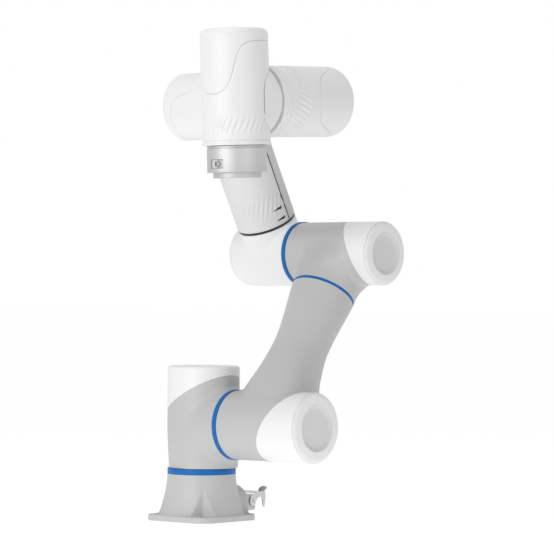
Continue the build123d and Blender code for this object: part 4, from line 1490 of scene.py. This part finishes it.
second = wrist_form(
    "wrist_2_housing_skin", lip=0, bore=port_bore, lines=[-64.7, -56.7], flutes=(-47.0, -16.5),
    **WRIST_2,
)
second_port = WRIST_OFFSET - WRIST_1_FACE - JOINT_GAP
second_place = MODULE_2 @ ALONG_PORT
combined(second, drum("port", WRIST_PORT, 0, second_port, 160, ALONG_PORT), "UNION")
nodes = ("wrist_2_housing", "wrist_2_lid")
split_lid(second, WRIST_2, 0.0, MODULE_2, "second_wrist", nodes, WIDE_RISE)
journal(
    "second_wrist_journal", port_journal, second_port - 1, second_port + JOURNAL, second_place,
    "second_wrist",
)

# %% [markdown]
# The third wrist's port is squarish where it leaves the housing and round at the joint, and a
# fine dark line of shade runs between the two. So the port is a piece of its own, lofted, and
# the housing is cut to fit it with a little room. A dark grey fill in that room is painted shade
# for the line. It reaches to just under the skin, and keeps lower where the flutes would lay it
# bare.

# %% Third wrist
WRIST_3 = dict(radius=44.6, face=57.6, end=94.0)
WRIST_STEP = (wrist_2 - wrist_3).length / MM
FLANGE_BODY = 39.2
PORT_STEP = 2.4
PORT_LINE = 0.3
PORT_HALF = 43.9
TONGUE_FOOT = 8.6
SHADE_TALL = 60.0
FLUTES_LOW, FLUTES_HIGH = -45.0, -19.0
flange_journal = FLANGE_BODY - PORT_SHOULDER
third_port = WRIST_STEP - WRIST_2["face"] - JOINT_GAP
third_place = MODULE_3 @ ALONG_PORT
# Stations of the port: reach, half height, squareness
PORT_SHAPE = [(0, 47.5, 4.4), (16, 47.3, 4.0), (30, 46.4, 3.0), (third_port - PORT_STEP, 43.9, 2.0)]


def port_form(name, grow):
    """The squarish port that turns round at the joint, made larger by grow."""
    piece = oval_loft(name, [
        (reach, PORT_HALF + grow, tall + grow, 0, square) for reach, tall, square in PORT_SHAPE
    ], 1.5)
    piece.data.transform(ALONG_PORT)
    return piece


third = wrist_form(
    "wrist_3_housing_skin", lip=1.1, bore=flange_journal + BORE_ROOM, lines=[-51.5],
    flutes=(FLUTES_LOW, FLUTES_HIGH), **WRIST_3,
)
combined(third, port_form("port_room", PORT_LINE), "DIFFERENCE")
nodes = ("wrist_3_housing", "wrist_3_lid")
split_lid(third, WRIST_3, TONGUE_FOOT, MODULE_3, "third_wrist", nodes)
finished(port_form("third_wrist_port", 0), MODULE_3, "third_wrist", WHITE_PAINT, [])

# The fill is painted shade: a dark grey piece in the crease between the port and the housing.
seal = port_form("port_shade_fill", PORT_LINE - 0.02)
under_skin = WRIST_3["radius"] - 0.06
under_flutes = WRIST_3["radius"] - FLUTE_DEPTH - 0.1
over_flutes = FLUTES_HIGH + 0.5
shade_core = turned("shade_core", [Vector(p) for p in (
    (0, -SHADE_TALL), (under_flutes, -SHADE_TALL), (under_flutes, over_flutes),
    (under_skin, over_flutes), (under_skin, SHADE_TALL), (0, SHADE_TALL),
)], 200)
combined(seal, shade_core, "INTERSECT")
finished(seal, MODULE_3, "third_wrist", PORT_SHADE_GREY, [])
journal(
    "third_wrist_journal", port_journal, third_port - 1, third_port + JOURNAL, third_place,
    "third_wrist",
)

# %% [markdown]
# The tool flange is turned from bare metal: a wide body with a fine groove near its top, and a
# narrower face below with a pilot bore, four tapped holes and a dowel hole. It is one turned
# section, and the holes and the recess for the cable's socket are cut after.

# %% Tool flange
FLANGE_BODY_END = 92.7
FLANGE_RADIUS = 31.5
FLANGE_GROOVE = 2.9
FLANGE_GROOVE_DEEP = 1.2
TOOL_REACH = 100.0
PILOT_RADIUS = 15.75
PILOT_DEPTH = 6.2
TOOL_BOLT_CIRCLE = 50.0
TOOL_BOLT_RADIUS = 2.5
TOOL_BOLT_DEPTH = 10.0
DOWEL_RADIUS = 3.0
DOWEL_DEPTH = 6.0
SOCKET_WIDTH = 22.0
SOCKET_TALL = 12.0
SOCKET_BACK = 34.0
SOCKET_DROP = 81.5
RECESS_SIDE = 1.0

flange_top = -WRIST_3["face"] - JOINT_GAP
line = flange_top - FLANGE_GROOVE
line_radius = FLANGE_BODY - FLANGE_GROOVE_DEEP
section = rolled([
    (0, flange_top + JOURNAL), (flange_journal, flange_top + JOURNAL, 0.6),
    (flange_journal, flange_top), (FLANGE_BODY, flange_top, 0.5), (FLANGE_BODY, line + 0.8, 0.2),
    (line_radius, line + 0.7), (line_radius, line - 0.7), (FLANGE_BODY, line - 0.8, 0.2),
    (FLANGE_BODY, -FLANGE_BODY_END, 0.9), (FLANGE_RADIUS, -FLANGE_BODY_END, 0.5),
    (FLANGE_RADIUS, -TOOL_REACH, 0.7), (PILOT_RADIUS, -TOOL_REACH, 0.5),
    (PILOT_RADIUS, PILOT_DEPTH - TOOL_REACH), (0, PILOT_DEPTH - TOOL_REACH),
], 4)
flange = turned("tool_flange_skin", section, 192)
on_circle = Matrix.Translation((TOOL_BOLT_CIRCLE / 2, 0, 0))
below = -TOOL_REACH - 2
for spin in corner_turns():
    bored(flange, TOOL_BOLT_RADIUS, below, TOOL_BOLT_DEPTH - TOOL_REACH, spin @ on_circle)
bored(flange, DOWEL_RADIUS, below, DOWEL_DEPTH - TOOL_REACH, on_circle)
side_low, side_high = RECESS_SIDE - SOCKET_WIDTH / 2, RECESS_SIDE + SOCKET_WIDTH / 2
tall_low, tall_high = -SOCKET_DROP - SOCKET_TALL / 2, -SOCKET_DROP + SOCKET_TALL / 2
recess = block("recess", (-50, side_low, tall_low), (-SOCKET_BACK, side_high, tall_high))
combined(flange, recess, "DIFFERENCE")
finished(flange, MODULE_3, "tool_flange", FLANGE_METAL, ["tool_flange"])

# %% [markdown]
# In the recess a pale plate carries the round socket for a tool's cable: a metal collar with a
# plastic insert. The plate is a box whose edges a Bevel modifier rounds, and the socket's two
# pieces are turned, because that is how such a socket is made.

# %% Tool socket
PLATE_FRONT = 35.8
PLATE_SUNK = 0.4
PLATE_CLEAR = 0.3
SOCKET_RADIUS = 4.0
SOCKET_WALL = 1.2
SOCKET_RIM = 1.6
SOCKET_LENGTH = 6.5
INSERT_LENGTH = 5.2

socket_plate = block(
    "socket_plate", (-PLATE_FRONT, side_low + PLATE_CLEAR, tall_low + PLATE_CLEAR),
    (PLATE_SUNK - SOCKET_BACK, side_high - PLATE_CLEAR, tall_high - PLATE_CLEAR),
)
rounding = socket_plate.modifiers.new("edge", "BEVEL")
rounding.width = 0.3
rounding.segments = 2
finished(applied(socket_plate), MODULE_3, "tool_flange", DISC_GREY, [])

socket_turn = Matrix.Rotation(math.radians(-90), 4, "Y")
SOCKET_PLACE = MODULE_3 @ Matrix.Translation((-SOCKET_BACK, 0, -SOCKET_DROP)) @ socket_turn
rim, bore = SOCKET_RADIUS + SOCKET_RIM, SOCKET_RADIUS - SOCKET_WALL
collar = turned("tool_socket_skin", rolled([
    (0, -0.5), (rim, -0.5), (rim, 1.4, 0.4), (SOCKET_RADIUS, 1.6),
    (SOCKET_RADIUS, SOCKET_LENGTH, 0.4), (bore, SOCKET_LENGTH, 0.3), (bore, 1.0), (0, 1.0),
], 3), 64)
finished(collar, SOCKET_PLACE, "tool_flange", STEEL, ["tool_socket"])
insert = turned("tool_socket_insert", rolled([
    (0, 0.9), (bore - 0.1, 0.9), (bore - 0.1, INSERT_LENGTH, 0.3), (0, INSERT_LENGTH),
], 3), 48)
finished(insert, SOCKET_PLACE, "tool_flange", GRIP_GREY, [])

# %% [markdown]
# The connector's latch lever is bent from steel sheet: two cheeks that end in hooks, a bar that
# joins them over the hood, and a dipped grip for the thumb. The cheek's outline is a smooth
# curve through a few points, given a thickness and a small bevel. Both cheeks come from the
# same outline, so they stay alike.

# %% Latch lever
LEVER_PIVOT = (83.0, 22.0)
PIN_HOLE = 2.3
CHEEK_INSIDE = 17.4
LEVER_THICK = 1.8
LEVER_BEVEL = 0.35
BAR_BITE = 0.5
GRIP_WIDE = 6.5
cheek_outside = CHEEK_INSIDE + LEVER_THICK
# Outlines in the base's x and z
CHEEK_POINTS = [
    (77.5, 20), (79, 27), (86, 31.5), (97, 34.5), (104.6, 35), (108.2, 32.5), (108.2, 22),
    (106.6, 13.2), (104.2, 13.8), (102.8, 21), (100.2, 26.4), (96, 26.6), (91, 23),
    (87.5, 16.8), (82, 15.4),
]
BAR_POINTS = [
    (94.6, 33.2), (97, 34.2), (103.5, 34.8), (104.8, 33.6), (103.5, 32.4), (97, 31.8), (94.8, 32.0),
]
GRIP_POINTS = [
    (101, 34.4), (101.6, 37.6), (105.5, 40.4), (109.4, 41.0), (111, 39.2), (109.6, 36.8), (105, 34.2),
]


def curved(points, steps=6):
    """A smooth closed outline through a few points."""
    outline = []
    count = len(points)
    for i in range(count):
        a, b, c, d = (Vector(points[(i + k) % count]) for k in (-1, 0, 1, 2))
        square = 2 * a - 5 * b + 4 * c - d
        cube = 3 * b - a - 3 * c + d
        for step in range(steps):
            s = step / steps
            outline.append(tuple((2 * b + (c - a) * s + square * s**2 + cube * s**3) / 2))
    return outline


def sheet_piece(name, outline, low, high):
    """A bent sheet part between two widths along Y, with its edges bevelled."""
    piece = prism(name, outline, -high, -low, XZ_PLACE)
    bevel = piece.modifiers.new("edge", "BEVEL")
    bevel.width = LEVER_BEVEL
    bevel.segments = 2
    return applied(piece)


cheek = curved(CHEEK_POINTS)
bar_half = CHEEK_INSIDE + BAR_BITE
lever = sheet_piece("connector_lever_skin", cheek, CHEEK_INSIDE, cheek_outside)
combined(lever, sheet_piece("far_cheek", cheek, -cheek_outside, -CHEEK_INSIDE), "UNION")
combined(lever, sheet_piece("bar", BAR_POINTS, -bar_half, bar_half), "UNION")
pin_place = Matrix.Translation((LEVER_PIVOT[0], 0, LEVER_PIVOT[1])) @ DRIVE_TO_LINK
for low in (-cheek_outside - 1, CHEEK_INSIDE - 1):
    bored(lever, PIN_HOLE, low, low + LEVER_THICK + 2, pin_place)
finished(lever, WORLD, "connector_lever", STEEL, ["connector_lever"])
grip = sheet_piece("lever_grip", curved(GRIP_POINTS), -cheek_outside, GRIP_WIDE - cheek_outside)
finished(grip, WORLD, "connector_lever", GRIP_GREY, [])

# %% [markdown]
# The connector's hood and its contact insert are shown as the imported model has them, because
# their shapes are complete there. Only their paint changes: cast metal and black plastic.

# %% Paint for the CAD nodes that stay
for name, material in (("connector_housing", CAST_METAL), ("connector_insert", BLACK_PLASTIC_AND_SHADE)):
    node = frame["nodes"][name]
    node.data.materials.clear()
    node.data.materials.append(material)
    print(name, "is painted", material.name)
